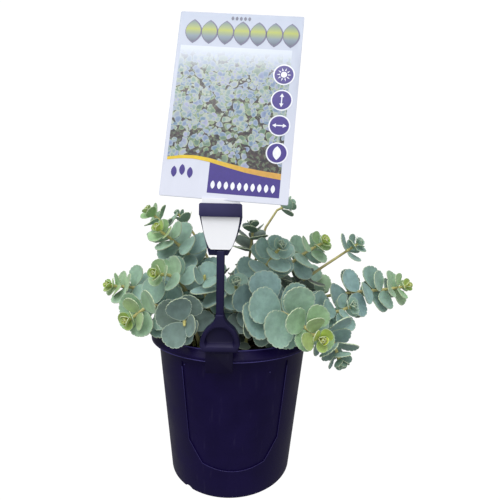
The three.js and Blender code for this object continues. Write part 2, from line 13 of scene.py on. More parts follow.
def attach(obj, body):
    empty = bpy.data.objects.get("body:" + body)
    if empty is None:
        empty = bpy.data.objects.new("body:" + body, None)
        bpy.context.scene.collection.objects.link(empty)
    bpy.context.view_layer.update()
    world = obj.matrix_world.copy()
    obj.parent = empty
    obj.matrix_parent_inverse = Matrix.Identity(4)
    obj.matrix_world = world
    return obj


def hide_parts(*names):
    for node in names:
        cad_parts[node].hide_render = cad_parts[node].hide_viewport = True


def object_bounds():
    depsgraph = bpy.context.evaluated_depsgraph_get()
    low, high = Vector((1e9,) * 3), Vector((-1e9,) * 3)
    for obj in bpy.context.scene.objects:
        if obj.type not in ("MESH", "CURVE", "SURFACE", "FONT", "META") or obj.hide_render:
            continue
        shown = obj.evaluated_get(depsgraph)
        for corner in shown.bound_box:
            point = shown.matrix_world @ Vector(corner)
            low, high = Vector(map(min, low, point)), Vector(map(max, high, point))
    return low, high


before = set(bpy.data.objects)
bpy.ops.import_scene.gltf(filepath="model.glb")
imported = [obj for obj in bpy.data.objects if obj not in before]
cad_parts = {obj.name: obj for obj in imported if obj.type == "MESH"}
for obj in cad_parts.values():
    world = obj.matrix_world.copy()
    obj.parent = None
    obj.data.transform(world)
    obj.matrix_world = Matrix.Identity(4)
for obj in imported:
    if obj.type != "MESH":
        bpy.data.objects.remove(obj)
cad_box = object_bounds()

# Sizes are in millimetres as in the part's source, and become metres when a piece is finished
MM = 0.001

# Pot
RIM_RADIUS = 70
RIM_TOP = 124
BODY_TOP_RADIUS = 63.7
BODY_TOP_HEIGHT = 114.7
BASE_RADIUS = 52
BASE_EDGE = 1.6
WALL = 1.7
FLOOR = 2.2
POT_STEPS = 144
PANEL_DEPTH = 0.8
PANEL_TURN = radians(5)
SHIELD = [(-40.3, 110), (-34.6, 46), (-24, 29), (0, 20, 24, 29), (34.6, 46), (40.3, 110)]

# Drains: the radius, length, tilt and place of the round bar that cuts a base notch or a floor hole
DRAIN_FIRST = radians(-127)
NOTCH = (5, 20, pi / 2, (BASE_RADIUS, 0, -1.8))
FLOOR_HOLE = (4, 8.8, 0, (34, 0, 0))

# Soil
SOIL_TOP = 117.2
CHIPS = 620
CHIPS_REACH = 60.2

# Label card, and the width that its print's map calls 1
CARD_WIDTH = 85.4
CARD_LENGTH = 130.8
CARD_THICKNESS = 0.8
CARD_FOOT = (-5.1, -76.2, 228.8)
CARD_LEAN = radians(10.8)
CARD_YAW = radians(-3.5)
CARD_SPIN = radians(3.6)
CARD_FRAME = (Matrix.Translation(CARD_FOOT) @ Matrix.Rotation(CARD_YAW, 4, "Z")
              @ Matrix.Rotation(-CARD_LEAN, 4, "X") @ Matrix.Rotation(CARD_SPIN, 4, "Y"))
INK = 0.05
PRINT_UNIT = 85
TITLE_FOOT = 108.8
TITLE_HEIGHT = 15.6

# Label holder
HOLDER_X = -6.2
HOLDER_BACK = -73.5
BAND_BOTTOM = 218
BAND_TOP = 226.8
BAND_HALF = 14
ARCH_FOOT = 130.4
HOOD = [
    (-8.6, 153), (-9.2, 147, -13.6, 144), (-18.8, 139.5, -19, 132), (-17.4, 127.2), (6.2, 127.2),
    (8.2, 132), (7.6, 140.5, 2.4, 144.6), (-2.4, 148, -3, 153),
]
ARCH = [
    (-15, ARCH_FOOT), (-16, 133), (-15, 141, -10.5, 144.6, -5.6, 144.6),
    (-0.7, 144.6, 3.8, 141, 4.8, 133), (3.8, ARCH_FOOT),
]

# Stems: name, first and end of its whorls, leaf size, turn, turn to the light, and the route above the soil
COLLAR = 119
ROOT_DEPTH = 104
STEM_RADIUS = 1.6
STEM_SIDES = 10
BARE_STEP = 24
SAMPLES = 60
STEMS = [
    ("upper_left", 0, 8, 0.98, 10, 0.55, (-20, -2), (-23, -5, 140), (-27, -7, 166), (-40, -10, 188),
     (-63, -16, 207)),
    ("front_right", 0, 7, 1.12, 30, 0.62, (8, -22), (10, -36, 139), (20, -48, 151), (41, -63, 150),
     (63, -80, 137)),
    ("long_right", 0, 7, 0.9, 0, 0.62, (26, 3), (50, -2, 143), (78, -8, 152), (106, -5, 156), (130, -3, 158),
     (152, 0, 161)),
    ("far_left", 0, 6, 0.92, 30, 0.62, (-31, -6), (-48, -8, 143), (-78, -9, 155), (-107, -6, 157)),
    ("right_high", 0, 3, 0.88, 50, 0.5, (20, 12), (40, 8, 145), (63, 4, 165), (84, 8, 179), (112, 14, 197)),
    ("left_low", 0, 6, 1.1, 20, 0.55, (-38, -20), (-48, -32, 142), (-60, -43, 150), (-75.5, -53, 140)),
    ("left_rosette", 0, 6, 0.92, 0, 0.4, (-24, -22), (-32, -28, 148), (-43, -37, 170), (-56, -50, 175)),
    ("centre_rosette", 0, 6, 1.05, 30, 0.4, (8, -6), (16, -9, 148), (27, -17, 178), (38, -30, 196)),
    ("right_mid", 0, 5, 0.88, 15, 0.5, (14, 4), (28, 3, 148), (44, -1, 174), (60, -4, 188), (77, -6, 199)),
    ("front_left", 2, 6, 1.02, 68, 0.5, (-29, -36), (-33, -46, 136), (-33, -56, 146), (-31, -68, 143)),
    ("front_low", 2, 6, 1.1, 0, 0.6, (12, -40), (13, -48, 131), (18, -60, 138)),
    ("low_left", 1, 5, 1.0, 0, 0.6, (-24, -42), (-25, -50, 130), (-27, -60, 138)),
    ("hanging_right", 0, 4, 0.98, 20, 0.3, (30, -24), (52, -38, 140), (72, -48, 136), (82, -55, 113)),
    ("rim_right", 1, 4, 1.05, 12, 0.6, (36, -34), (40, -42, 129), (44, -55, 133)),
    ("right_low", 0, 5, 1.0, 10, 0.6, (38, -12), (60, -18, 138), (82, -24, 142), (97, -28, 149)),
    ("behind_stalk", 1, 6, 1.05, 45, 0.5, (-13, -26), (-17, -32, 142), (-21, -38, 160), (-20, -46, 173)),
    ("middle", 0, 5, 0.95, 35, 0.5, (2, -28), (3, -34, 142), (3, -41, 160), (4, -50, 170)),
    ("top", 0, 4, 0.95, 25, 0.2, (0, 14), (8, 16, 152), (14, 18, 188), (16, 20, 211)),
    ("top_back", 0, 3, 0.75, 35, 0, (5, 30), (14, 34, 160), (27, 37, 202), (31, 40, 220), (54, 52, 233)),
    ("high_left", 0, 4, 0.9, 0, 0.2, (-18, 14), (-36, 18, 168), (-63, 20, 206), (-80, 20, 222)),
    ("small_left", 0, 3, 0.7, 50, 0, (-7, 24), (-20, 30, 164), (-38, 33, 198), (-56, 35, 220)),
    ("back_right", 0, 4, 1.05, 10, 0, (30, 24), (50, 40, 144), (72, 58, 152), (92, 70, 148)),
    ("back", 0, 5, 1.08, 40, 0, (14, 44), (16, 60, 142), (14, 80, 150), (8, 98, 145)),
    ("back_left", 0, 5, 1.08, 25, 0, (-26, 32), (-42, 48, 144), (-58, 66, 150), (-72, 80, 143)),
    ("left_back", 0, 4, 1.05, 15, 0, (-40, 8), (-58, 16, 138), (-80, 28, 142), (-96, 38, 133)),
]

# Leaf whorls, counted back from the tip, and the leaf blade
WHORL_FROM_TIP = (3, 8, 15, 25, 37, 50, 63, 76)
LEAF_LENGTH = (8.5, 13.5, 18.5, 22, 24, 25, 25, 24)
LEAF_RISE_DEG = (64, 46, 32, 20, 12, 6, 2, 0)
LEAF_FOOT = 1.05
LEAF_CUP = 0.14
COVER_RINGS = ((0.17, 4), (0.33, 9), (0.5, 14), (0.67, 18), (0.83, 23), (1, 28))
LIGHT = np.array((0, -0.9, 0.436))
LEAF_GAP = 2.3
OWN_LEAF_GAP = 1.9
STEM_GAP = 3.1
BOX_MARGIN = 0.7

# Leaves that the scene adds: inner ones up to a height and a distance from the middle, which may lie
# closer by a share of the gap, and rings of hearts over each tip, with their length and rise
INNER_TOP = 172
INNER_REACH = 66
INNER_WHORL = 8
INNER_CLOSENESS = 0.45
HEARTS = ((6.8, 66), (5.0, 76), (3.6, 84))

# How young each whorl's leaves look, stems whose tips aren't lime, and old ones low in the pot
YOUTH = (0.84, 0.74, 0.62, 0.48, 0.4, 0.32, 0.22, 0.14, 0.08)
BLUE_TIPS = {
    "centre_rosette", "hanging_right", "right_low", "right_high", "behind_stalk", "middle", "top",
    "top_back", "small_left", "back", "rim_right",
}
OLD_STEMS = {"front_left", "front_low", "low_left", "top"}

# Camera: focal length and picture width in pixels, sensor width in millimetres, place, tilt and roll
FOCAL_PIXELS = 366.09
PICTURE_PIXELS = 500
SENSOR_WIDTH = 36
CAMERA_PLACE = (13.515, -317.34, 218.079)
CAMERA_TILT = radians(90 - 5.083)
CAMERA_ROLL = radians(1.2587)


# Colours and shader nodes: a Mix node has its share at socket 0 and two colours at 6 and 7
def srgb(text):
    """A hex colour as linear red, green and blue, with alpha 1."""
    values = [int(text[i:i + 2], 16) / 255 for i in (1, 3, 5)]
    return [v / 12.92 if v <= 0.04045 else ((v + 0.055) / 1.055) ** 2.4 for v in values] + [1]


def add_node(tree, kind, inputs=None, out=0, stops=(), **settings):
    """Adds a node of this kind, sets it, sets or links its sockets, and gives one of its outputs."""
    made = tree.nodes.new("ShaderNode" + kind)
    for name, value in settings.items():
        setattr(made, name, value)
    if stops:
        elements = made.color_ramp.elements
        while len(elements) < len(stops):
            elements.new(1)
        for element, (place, colour) in zip(elements, stops):
            element.position = place
            element.color = srgb(colour)
    for name, value in (inputs or {}).items():
        if isinstance(value, bpy.types.NodeSocket):
            tree.links.new(value, made.inputs[name])
        else:
            made.inputs[name].default_value = srgb(value) if isinstance(value, str) else value
    return made.outputs[out]


def new_material(name):
    """An empty material, and what adds nodes to it."""
    material = bpy.data.materials.new(name)
    material.use_nodes = True
    material.node_tree.nodes.clear()
    return material, partial(add_node, material.node_tree)


def close(material, sockets, strength=0, depth=0, relief=None):
    """Ends a material with a surface that has these sockets, and a bump from its relief."""
    tree = material.node_tree
    surface = add_node(tree, "BsdfPrincipled", sockets)
    if relief:
        bump = add_node(tree, "Bump", {"Strength": strength, "Distance": depth, "Height": relief})
        tree.links.new(bump, surface.node.inputs["Normal"])
    tree.links.new(surface, tree.nodes.new("ShaderNodeOutputMaterial").inputs["Surface"])
    return material


def speckle(add, size, detail=2, low=0.35, high=0.65, where=None, unit=1 / MM):
    """Noise from 0 to 1 with lumps this many millimetres wide, on coordinates of this unit."""
    place = where or add("TexCoord", out="Object")
    lumps = add("TexNoise", {"Vector": place, "Scale": unit / size, "Detail": detail})
    return add("MapRange", {"Value": lumps, "From Min": low, "From Max": high})


# Materials
def moulded_polypropylene(name, stops, roughness):
    """Injection-moulded polypropylene: satin, with grain and scuffs, and colour stops up its height that
    paint light and shade, mostly lighter towards the top.
    """
    material, add = new_material(name)
    place = add("TexCoord", out="Object")
    # Painted light and shade: the colour follows the given stops up the height, not the plastic's own
    # colour.
    height = add("SeparateXYZ", {0: place}, 2)
    up = add("MapRange", {"Value": height, "From Max": 0.24})
    colour = add("ValToRGB", {0: up}, stops=stops)
    clouds = speckle(add, 18.2, 3)
    value = add("MapRange", {"Value": clouds, "To Min": 0.9, "To Max": 1.12})
    colour = add("HueSaturation", {"Value": value, "Color": colour})
    streaks = add("Mapping", {"Vector": place, "Scale": (1, 1, 0.12)})
    marks = speckle(add, 3.33, 2, 0.62, 0.78, streaks)
    dusty = add("Math", {0: marks, 1: 0.04}, operation="MULTIPLY")
    colour = add("Mix", {0: dusty, 6: colour, 7: "#77728f"}, 2, data_type="RGBA")
    rough = add("MapRange", {"Value": clouds, "To Min": roughness - 0.05, "To Max": roughness + 0.06})
    # The mould's real grain is finer, and is drawn this coarse so that it shows
    grain = speckle(add, 0.625, 1, 0, 1)
    return close(material, {
        "Base Color": colour, "Roughness": rough, "IOR": 1.49, "Specular IOR Level": 0.13,
    }, 0.12, 0.0002, grain)


def coated_card(name, low, high):
    """White card with a gloss coat: bright, a little cold, with soft ripples up its height, and a colour
    that shifts from low to high up its height as painted shade.
    """
    material, add = new_material(name)
    place = add("TexCoord", out="Object")
    stretched = add("Mapping", {"Vector": place, "Scale": (1, 1, 0.08)})
    ripples = speckle(add, 6.25, 1, 0.3, 0.7, stretched)
    height = add("SeparateXYZ", {0: place}, 2)
    up = add("MapRange", {"Value": height, "From Min": 0.24, "From Max": 0.36})
    colour = add("Mix", {0: up, 6: low, 7: high}, 2, data_type="RGBA")
    return close(material, {
        "Base Color": colour, "Roughness": 0.3, "IOR": 1.55, "Coat Weight": 0.4, "Coat Roughness": 0.12,
    }, 0.25, 0.0008, ripples)


def close_ink(material, colour):
    """Ends an offset ink's material: a slight gloss under the card's coat."""
    return close(material, {
        "Base Color": colour, "Roughness": 0.28, "IOR": 1.5, "Coat Weight": 0.3, "Coat Roughness": 0.1,
    })


def printed_ink(name, low, high=None):
    """Offset ink, a little uneven, and a gradient across the card where it has two colours."""
    material, add = new_material(name)
    uneven = add("MapRange", {"Value": speckle(add, 2.38), "To Min": 0.94, "To Max": 1.05})
    across = add("SeparateXYZ", {0: add("UVMap", uv_map="print")})
    share = add("MapRange", {"Value": across, "From Min": -0.2, "From Max": 0.2})
    colour = add("Mix", {0: share, 6: low, 7: high or low}, 2, data_type="RGBA")
    return close_ink(material, add("HueSaturation", {"Value": uneven, "Color": colour}))


def printed_title():
    """Ink of the title row: a gradient from slate through yellow-green to slate."""
    material, add = new_material("printed_gradient_ink")
    height = add("SeparateXYZ", {0: add("UVMap", uv_map="print")}, 1)
    foot, top = TITLE_FOOT / PRINT_UNIT, (TITLE_FOOT + TITLE_HEIGHT) / PRINT_UNIT
    share = add("MapRange", {"Value": height, "From Min": foot, "From Max": top})
    return close_ink(material, add("ValToRGB", {0: share}, stops=[
        (0.0, "#3f4d66"), (0.28, "#6c8092"), (0.46, "#8b9c66"), (0.6, "#a7b138"), (0.76, "#8a9c68"),
        (1.0, "#5c7486"),
    ]))


def leaf_layer(add, place, below, across, seed, tints, density):
    """Round printed leaves over a colour, this many across the card, with dark hearts and pale rims."""
    shifted = add("VectorMath", {0: place, 1: (seed, seed * 0.7, seed)}, operation="ADD")
    away = add("TexVoronoi", {"Vector": shifted, "Scale": across, "Randomness": 0.95}, "Distance")
    draws = add("SeparateColor", {0: away.node.outputs["Color"]}).node.outputs
    body = add("Mix", {0: draws[0], 6: tints[0], 7: tints[1]}, 2, data_type="RGBA")
    heart = add("MapRange", {"Value": away, "From Max": 0.3, "To Min": 0.4, "To Max": 0})
    rim = add("MapRange", {"Value": away, "From Min": 0.3, "From Max": 0.42})
    tone = add("Mix", {0: heart, 6: body, 7: tints[2]}, 2, data_type="RGBA")
    tone = add("Mix", {0: rim, 6: tone, 7: tints[3]}, 2, data_type="RGBA")
    inside = add("Math", {0: away, 1: 0.47}, operation="LESS_THAN")
    kept = add("Math", {0: draws[1], 1: density}, operation="LESS_THAN")
    share = add("Math", {0: inside, 1: kept}, operation="MULTIPLY")
    return add("Mix", {0: share, 6: below, 7: tone}, 2, data_type="RGBA")


def printed_foliage():
    """Ink of the picture: a made-up mat of round leaves, 3 to 6 mm wide, over dark gaps."""
    material, add = new_material("printed_foliage_ink")
    place = add("UVMap", uv_map="print")
    wobble = add("TexNoise", {"Vector": place, "Scale": 11, "Detail": 3}, "Color")
    moved = add("VectorMath", {0: wobble, 1: (0.07, 0.07, 0), 2: place}, operation="MULTIPLY_ADD")
    height = add("SeparateXYZ", {0: place}, 1)
    twigs = speckle(add, 3.27, 4, 0.4, 0.62, place, PRINT_UNIT)
    moss = speckle(add, 2.5, 3, 0.5, 0.6, moved, PRINT_UNIT)
    colour = add("Mix", {0: twigs, 6: "#1f1c28", 7: "#4a3c3e"}, 2, data_type="RGBA")
    colour = add("Mix", {0: moss, 6: colour, 7: "#5f6d58"}, 2, data_type="RGBA")
    clumps = speckle(add, 18.9, 2, 0.34, 0.6, place, PRINT_UNIT)
    taller = add("MapRange", {
        "Value": height, "From Min": 0.3, "From Max": 0.85, "To Min": -0.22, "To Max": 0.4,
    })
    density = add("Math", {0: clumps, 1: 0.75, 2: taller}, operation="MULTIPLY_ADD")
    green = ("#58796a", "#7b9480", "#334c43", "#92a37f")
    blue = ("#6686a0", "#8c98c0", "#405a74", "#9cabb8")
    pale = ("#7a9a90", "#a3a6cc", "#587674", "#adb8a8")
    for across, seed, tints in (
        (15, 1.7, green), (17, 5.1, blue), (19, 9.4, green), (14, 12.3, pale), (18, 15.8, blue),
        (23, 21.1, pale),
    ):
        colour = leaf_layer(add, moved, colour, across, seed, tints, density)
    mist = add("MapRange", {"Value": height, "From Min": 1.02, "From Max": 1.22})
    colour = add("Mix", {0: mist, 6: colour, 7: "#cfd8e6"}, 2, data_type="RGBA")
    return close_ink(material, colour)


def bark_compost(name, dark, light, rough):
    """Composted bark and peat: crumbly, matt, with damp and dry patches."""
    material, add = new_material(name)
    fine = speckle(add, 0.909, 3)
    damp = speckle(add, 3.85, 4)
    patches = add("Mix", {0: damp, 6: dark, 7: light}, 2, data_type="RGBA")
    crumbs = add("Mix", {0: fine, 6: patches, 7: "#150f0b"}, 2, data_type="RGBA", blend_type="MULTIPLY")
    colour = add("Mix", {0: 0.6, 6: crumbs, 7: patches}, 2, data_type="RGBA")
    return close(material, {"Base Color": colour, "Roughness": rough}, 0.8, 0.001, fine)


def leaf_skin(name, ages, margin, roughness):
    """Sedum leaf with its waxy bloom: blue-green, lime when young, mottled, with a pale cream edge."""
    material, add = new_material(name)
    youth = add("Attribute", out="Fac", attribute_name="youth")
    colour = add("ValToRGB", {0: youth}, stops=ages)
    cloud = speckle(add, 5.26)
    value = add("MapRange", {"Value": cloud, "To Min": 0.86, "To Max": 1.08})
    tint = add("Attribute", out="Fac", attribute_name="tint")
    hue = add("MapRange", {"Value": tint, "To Min": 0.485, "To Max": 0.52})
    colour = add("HueSaturation", {"Hue": hue, "Value": value, "Color": colour})
    dots = add("Math", {0: speckle(add, 1.111, 2, 0.56, 0.72), 1: 0.16}, operation="MULTIPLY")
    colour = add("Mix", {0: dots, 6: colour, 7: "#4c6a62"}, 2, data_type="RGBA")
    edge = add("Attribute", out="Fac", attribute_name="edge")
    band = add("MapRange", {"Value": edge, "From Min": 0.93, "From Max": 1.02})
    colour = add("Mix", {0: band, 6: colour, 7: margin}, 2, data_type="RGBA")
    return close(material, {
        "Base Color": colour, "Roughness": roughness, "IOR": 1.42,
        "Subsurface Weight": 0.08, "Subsurface Radius": (0.002, 0.003, 0.001), "Subsurface Scale": 1,
        "Sheen Weight": 0.15, "Sheen Roughness": 0.5,
    }, 0.2, 0.0004, cloud)


def stem_skin():
    """Sedum stem: olive and woody low down, pinkish tan to yellow towards its tip."""
    material, add = new_material("sedum_stem_skin")
    youth = add("Attribute", out="Fac", attribute_name="youth")
    colour = add("ValToRGB", {0: youth}, stops=[
        (0.0, "#767a4c"), (0.35, "#9aa260"), (0.7, "#b9b27e"), (1.0, "#c2bd74"),
    ])
    cloud = speckle(add, 2.86, 3)
    woody = add("Math", {0: cloud, 1: 0.3}, operation="MULTIPLY")
    colour = add("Mix", {0: woody, 6: colour, 7: "#8d7a55"}, 2, data_type="RGBA")
    return close(material, {"Base Color": colour, "Roughness": 0.5, "IOR": 1.42}, 0.3, 0.0005, cloud)


# Shapes
def outline(steps, middle=0):
    """Points in X from a middle and in Z, on lines and curves given by their pulls and ends."""
    points = [Vector(steps[0])]
    for step in steps[1:]:
        hull = [points[-1]] + [Vector(step[i:i + 2]) for i in range(0, len(step), 2)]
        count = 1 if len(hull) == 2 else 10
        for i in range(1, count + 1):
            row = hull
            while len(row) > 1:
                row = [a.lerp(b, i / count) for a, b in zip(row, row[1:])]
            points.append(row[0])
    return [Vector((x + middle, z)) for x, z in points]


def plate(points, y0, y1):
    """A plate with this outline seen from the front, from y0 back to y1."""
    bm = bmesh.new()
    face = bm.faces.new([bm.verts.new((x, y0, z)) for x, z in points])
    moved = bmesh.ops.extrude_face_region(bm, geom=[face])["geom"]
    back = [v for v in moved if isinstance(v, bmesh.types.BMVert)]
    bmesh.ops.translate(bm, vec=(0, y1 - y0, 0), verts=back)
    bmesh.ops.recalc_face_normals(bm, faces=bm.faces)
    return bm


def block(x0, x1, y0, y1, z0, z1):
    return plate([(x0, z0), (x1, z0), (x1, z1), (x0, z1)], y0, y1)


def spun(bm, steps):
    """Spins what the bmesh holds one full turn about Z into a closed body."""
    bmesh.ops.spin(bm, geom=bm.verts[:] + bm.edges[:], cent=(0, 0, 0), axis=(0, 0, 1), angle=2 * pi,
                   steps=steps, use_merge=True, use_duplicate=False)
    bmesh.ops.remove_doubles(bm, verts=bm.verts, dist=0.001)
    bmesh.ops.recalc_face_normals(bm, faces=bm.faces)
    return bm


def turned(profile, steps=POT_STEPS):
    """A closed body turned from a profile of radius and height between two points of its axis."""
    bm = bmesh.new()
    points = [bm.verts.new((r, 0, z)) for r, z in profile]
    for pair in zip(points, points[1:]):
        bm.edges.new(pair)
    return spun(bm, steps)


def swept(path, radii, sides):
    """A closed round bar along a path, with its radius at each point."""
    bm = bmesh.new()
    rows = []
    normal = Vector((1, 0, 0.01))
    last = len(path) - 1
    for k, (point, radius) in enumerate(zip(path, radii)):
        ahead = (Vector(path[min(k + 1, last)]) - Vector(path[max(k - 1, 0)])).normalized()
        normal = (normal - ahead * normal.dot(ahead)).normalized()
        turn = Matrix((normal, ahead.cross(normal), ahead)).transposed().to_4x4()
        made = bmesh.ops.create_circle(bm, segments=sides, radius=radius, cap_ends=k in (0, last),
                                       matrix=Matrix.Translation(Vector(point)) @ turn)
        rows.append({e for v in made["verts"] for e in v.link_edges})
    for low, high in zip(rows, rows[1:]):
        bmesh.ops.bridge_loops(bm, edges=list(low | high))
    bmesh.ops.recalc_face_normals(bm, faces=bm.faces)
    return bm


def soften(bm, width, segments=2, least=40, where=lambda edge: True):
    """Rounds the edges that turn more than this many degrees."""
    inner = [e for e in bm.edges if len(e.link_faces) == 2]
    sharp = [e for e in inner if e.calc_face_angle() > radians(least) and where(e)]
    bmesh.ops.bevel(bm, geom=sharp, offset=width, segments=segments, profile=0.5, affect="EDGES",
                    clamp_overlap=True, material=-1)
    return bm


def as_mesh(bm, name="part"):
    """A mesh with this content, which ends the bmesh."""
    mesh = bpy.data.meshes.new(name)
    bm.to_mesh(mesh)
    bm.free()
    return mesh


def joined(*parts):
    """Several bodies in one bmesh."""
    bm = bmesh.new()
    for part in parts:
        mesh = as_mesh(part)
        bm.from_mesh(mesh)
        bpy.data.meshes.remove(mesh)
    return bm


def new_object(name, data):
    """An object of the scene that shows this data."""
    thing = bpy.data.objects.new(name, data)
    bpy.context.scene.collection.objects.link(thing)
    return thing


def cut(body, tool):
    """A closed body less another."""
    things = [new_object("part", as_mesh(bm)) for bm in (body, tool)]
    less = things[0].modifiers.new("cut", "BOOLEAN")
    less.operation = "DIFFERENCE"
    less.solver = "EXACT"
    less.object = things[1]
    ready = things[0].evaluated_get(bpy.context.evaluated_depsgraph_get())
    bm = bmesh.new()
    bm.from_mesh(ready.to_mesh())
    for thing in things:
        mesh = thing.data
        bpy.data.objects.remove(thing)
        bpy.data.meshes.remove(mesh)
    bmesh.ops.remove_doubles(bm, verts=bm.verts, dist=0.002)
    return bm


def finish_piece(name, bm, materials, replaces=None, sharp=30):
    """Makes a piece from a bmesh in millimetres, with its materials and what it stands for."""
    bmesh.ops.scale(bm, vec=(MM, MM, MM), verts=bm.verts)
    mesh = as_mesh(bm, name)
    for material in materials:
        mesh.materials.append(material)
    mesh.polygons.foreach_set("use_smooth", [True] * len(mesh.polygons))
    if sharp:
        mesh.set_sharp_from_angle(angle=radians(sharp))
    piece = new_object(name, mesh)
    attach(piece, "root")
    if replaces:
        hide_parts(replaces)


def draw(seed):
    """Repeatable random number from 0 to 1."""
    value = sin(seed * 12.9898 + 4.1414) * 43758.5453
    return value - floor(value)


# Pot
def body_radius(z):
    return BASE_RADIUS + (BODY_TOP_RADIUS - BASE_RADIUS) * (z - BASE_EDGE) / (BODY_TOP_HEIGHT - BASE_EDGE)


def pot_shell():
    """The pot's wall, floor and rolled rim, with every corner a little rounded."""
    inside = body_radius(BODY_TOP_HEIGHT) - WALL
    wall = [(body_radius(z), z) for z in np.linspace(BASE_EDGE, BODY_TOP_HEIGHT, 13)]
    bm = turned([
        (0, 0), (BASE_RADIUS - BASE_EDGE, 0), *wall, (RIM_RADIUS - 0.6, 116.2), (RIM_RADIUS, 118.4),
        (67.2, 122.4), (65.6, RIM_TOP), (64.4, RIM_TOP), (inside + 0.6, 118.4), (inside, BODY_TOP_HEIGHT),
        (body_radius(FLOOR) - WALL, FLOOR), (0, FLOOR),
    ])
    return soften(bm, 0.55, 3, 12, lambda e: abs(e.verts[0].co.z - e.verts[1].co.z) < 0.01)


def drains():
    """Three low notches in the pot's base edge, and three round holes in its floor between them."""
    bm = bmesh.new()
    for i in range(6):
        radius, length, tilt, place = FLOOR_HOLE if i % 2 else NOTCH
        turn = Matrix.Rotation(DRAIN_FIRST + i * pi / 3, 4, "Z")
        turn @= Matrix.Translation(place) @ Matrix.Rotation(tilt, 4, "Y")
        bmesh.ops.create_cone(bm, cap_ends=True, segments=36, radius1=radius, radius2=radius, depth=length,
                              matrix=turn)
    return bm


def pot_panel():
    """What is cut from the pot's front for its shallow shield."""
    core = turned([
        (0, BASE_EDGE), (BASE_RADIUS - PANEL_DEPTH, BASE_EDGE),
        (BODY_TOP_RADIUS - PANEL_DEPTH, BODY_TOP_HEIGHT), (0, BODY_TOP_HEIGHT),
    ])
    front = cut(plate(outline(SHIELD), -70, -20), core)
    bmesh.ops.rotate(front, verts=front.verts, matrix=Matrix.Rotation(PANEL_TURN, 3, "Z"))
    return front


def gate_marks():
    """Two small dots beside the shield's top corners."""
    bm = bmesh.new()
    for angle, z in ((-122, 108), (-61, 104)):
        turn = radians(angle)
        place = Matrix.Translation((body_radius(z) * cos(turn), body_radius(z) * sin(turn), z))
        bmesh.ops.create_uvsphere(bm, u_segments=12, v_segments=8, radius=0.55, matrix=place)
    return bm


def rim_bead(radius, height, size):
    """A thin round edge that runs round the rim, which carries a painted highlight line."""
    bm = bmesh.new()
    place = Matrix.Translation((radius, 0, height)) @ Matrix.Rotation(pi / 2, 4, "X")
    bmesh.ops.create_circle(bm, segments=8, radius=size, cap_ends=False, matrix=place)
    return spun(bm, POT_STEPS)


def shield_bead():
    """The thin raised edge along the shield, which carries a painted highlight line."""
    path = []
    flat = outline(SHIELD)
    for a, b in zip(flat, flat[1:]):
        steps = max(1, round((b - a).length / 4))
        path += [a.lerp(b, i / steps) for i in range(steps)]
    turn = Matrix.Rotation(PANEL_TURN, 3, "Z")
    line = [turn @ Vector((x, -sqrt((body_radius(z) - 0.05) ** 2 - x * x), z)) for x, z in path[1:]]
    return swept(line, [0.26] * len(line), 6)


def make_pot():
    plastic = moulded_polypropylene("moulded_indigo_polypropylene", [(0, "#120a35"), (0.5, "#130a36")], 0.4)
    # A lighter copy of the pot's plastic, lighter still towards the rim: painted highlights on the rim's
    # edges, the shield's edge and the two dots.
    highlight_plastic = moulded_polypropylene("highlight_indigo_polypropylene", [(0.3, "#2c2655"), (0.5, "#443f77")], 0.3)
    shell = cut(cut(pot_shell(), drains()), pot_panel())
    finish_piece("nursery_pot", shell, [plastic], "pot", 28)
    finish_piece("pot_gate_marks", gate_marks(), [highlight_plastic], None, 35)
    beads = joined(rim_bead(66, 123.7, 0.36), rim_bead(69.5, 116.4, 0.3), shield_bead())
    finish_piece("pot_highlight_edges", beads, [highlight_plastic], None, 0)


# Soil
def soil_height(x, y):
    """The lumpy top of the soil, which sinks a little towards the pot's wall."""
    top = np.interp(hypot(x, y), (0, 20, 38, 54, 61.6), (0, 0, -0.5, -1.3, -2.7)) + SOIL_TOP
    lumps = 0.9 * noise.noise(Vector((x * 0.16, y * 0.16, 3)))
    return top + lumps + 0.4 * noise.noise(Vector((x * 0.5, y * 0.5, 8)))


def soil_body():
    edge = body_radius(114.5) - WALL - 0.3
    top = [(r, SOIL_TOP) for r in np.linspace(edge - 1.2, 1.5, 26)]
    bm = turned([
        (0, FLOOR + 0.3), (body_radius(FLOOR) - WALL - 0.5, FLOOR + 0.3), (edge, 114.3), *top,
        (0, SOIL_TOP),
    ], 96)
    for v in bm.verts:
        if v.co.z > 114.4:
            v.co.z = soil_height(v.co.x, v.co.y)
    return bm


def chips():
    """Bark chips, peat crumbs and a few white perlite grains on the soil."""
    bm = bmesh.new()
    for i in range(CHIPS):
        r = CHIPS_REACH * sqrt(draw(i + 0.11))
        turn = 2 * pi * draw(i + 0.23)
        x, y = r * cos(turn), r * sin(turn)
        bark = draw(i + 0.37) < 0.55
        size = 0.5 + 1.1 * draw(i + 0.41) ** 2
        spin = Matrix.Rotation(2 * pi * draw(i + 0.53), 4, "Z")
        spin @= Matrix.Rotation(draw(i + 0.59) - 0.5, 4, "Y")
        scale = Matrix.Diagonal((size * (1.6 if bark else 1), size, size * (0.45 if bark else 0.8), 1))
        place = Matrix.Translation((x, y, soil_height(x, y) + 0.2))
        made = bmesh.ops.create_icosphere(bm, subdivisions=1, radius=1, matrix=place @ spin @ scale)["verts"]
        kind = 2 if draw(i + 0.71) < 0.05 else (1 if bark else 0)
        for v in made:
            v.co += 0.22 * size * noise.noise_vector(v.co * 0.9)
            for face in v.link_faces:
                face.material_index = kind
    return bm


def make_soil():
    peat = bark_compost("peat_compost", "#17110d", "#3b2a1f", 0.95)
    bark = bark_compost("bark_chips", "#3a271a", "#6f5039", 0.85)
    perlite = bark_compost("perlite_grains", "#b9b4aa", "#e4e1d8", 0.9)
    finish_piece("compost", soil_body(), [peat], "soil", 0)
    finish_piece("compost_chips", chips(), [peat, bark, perlite], None, 40)


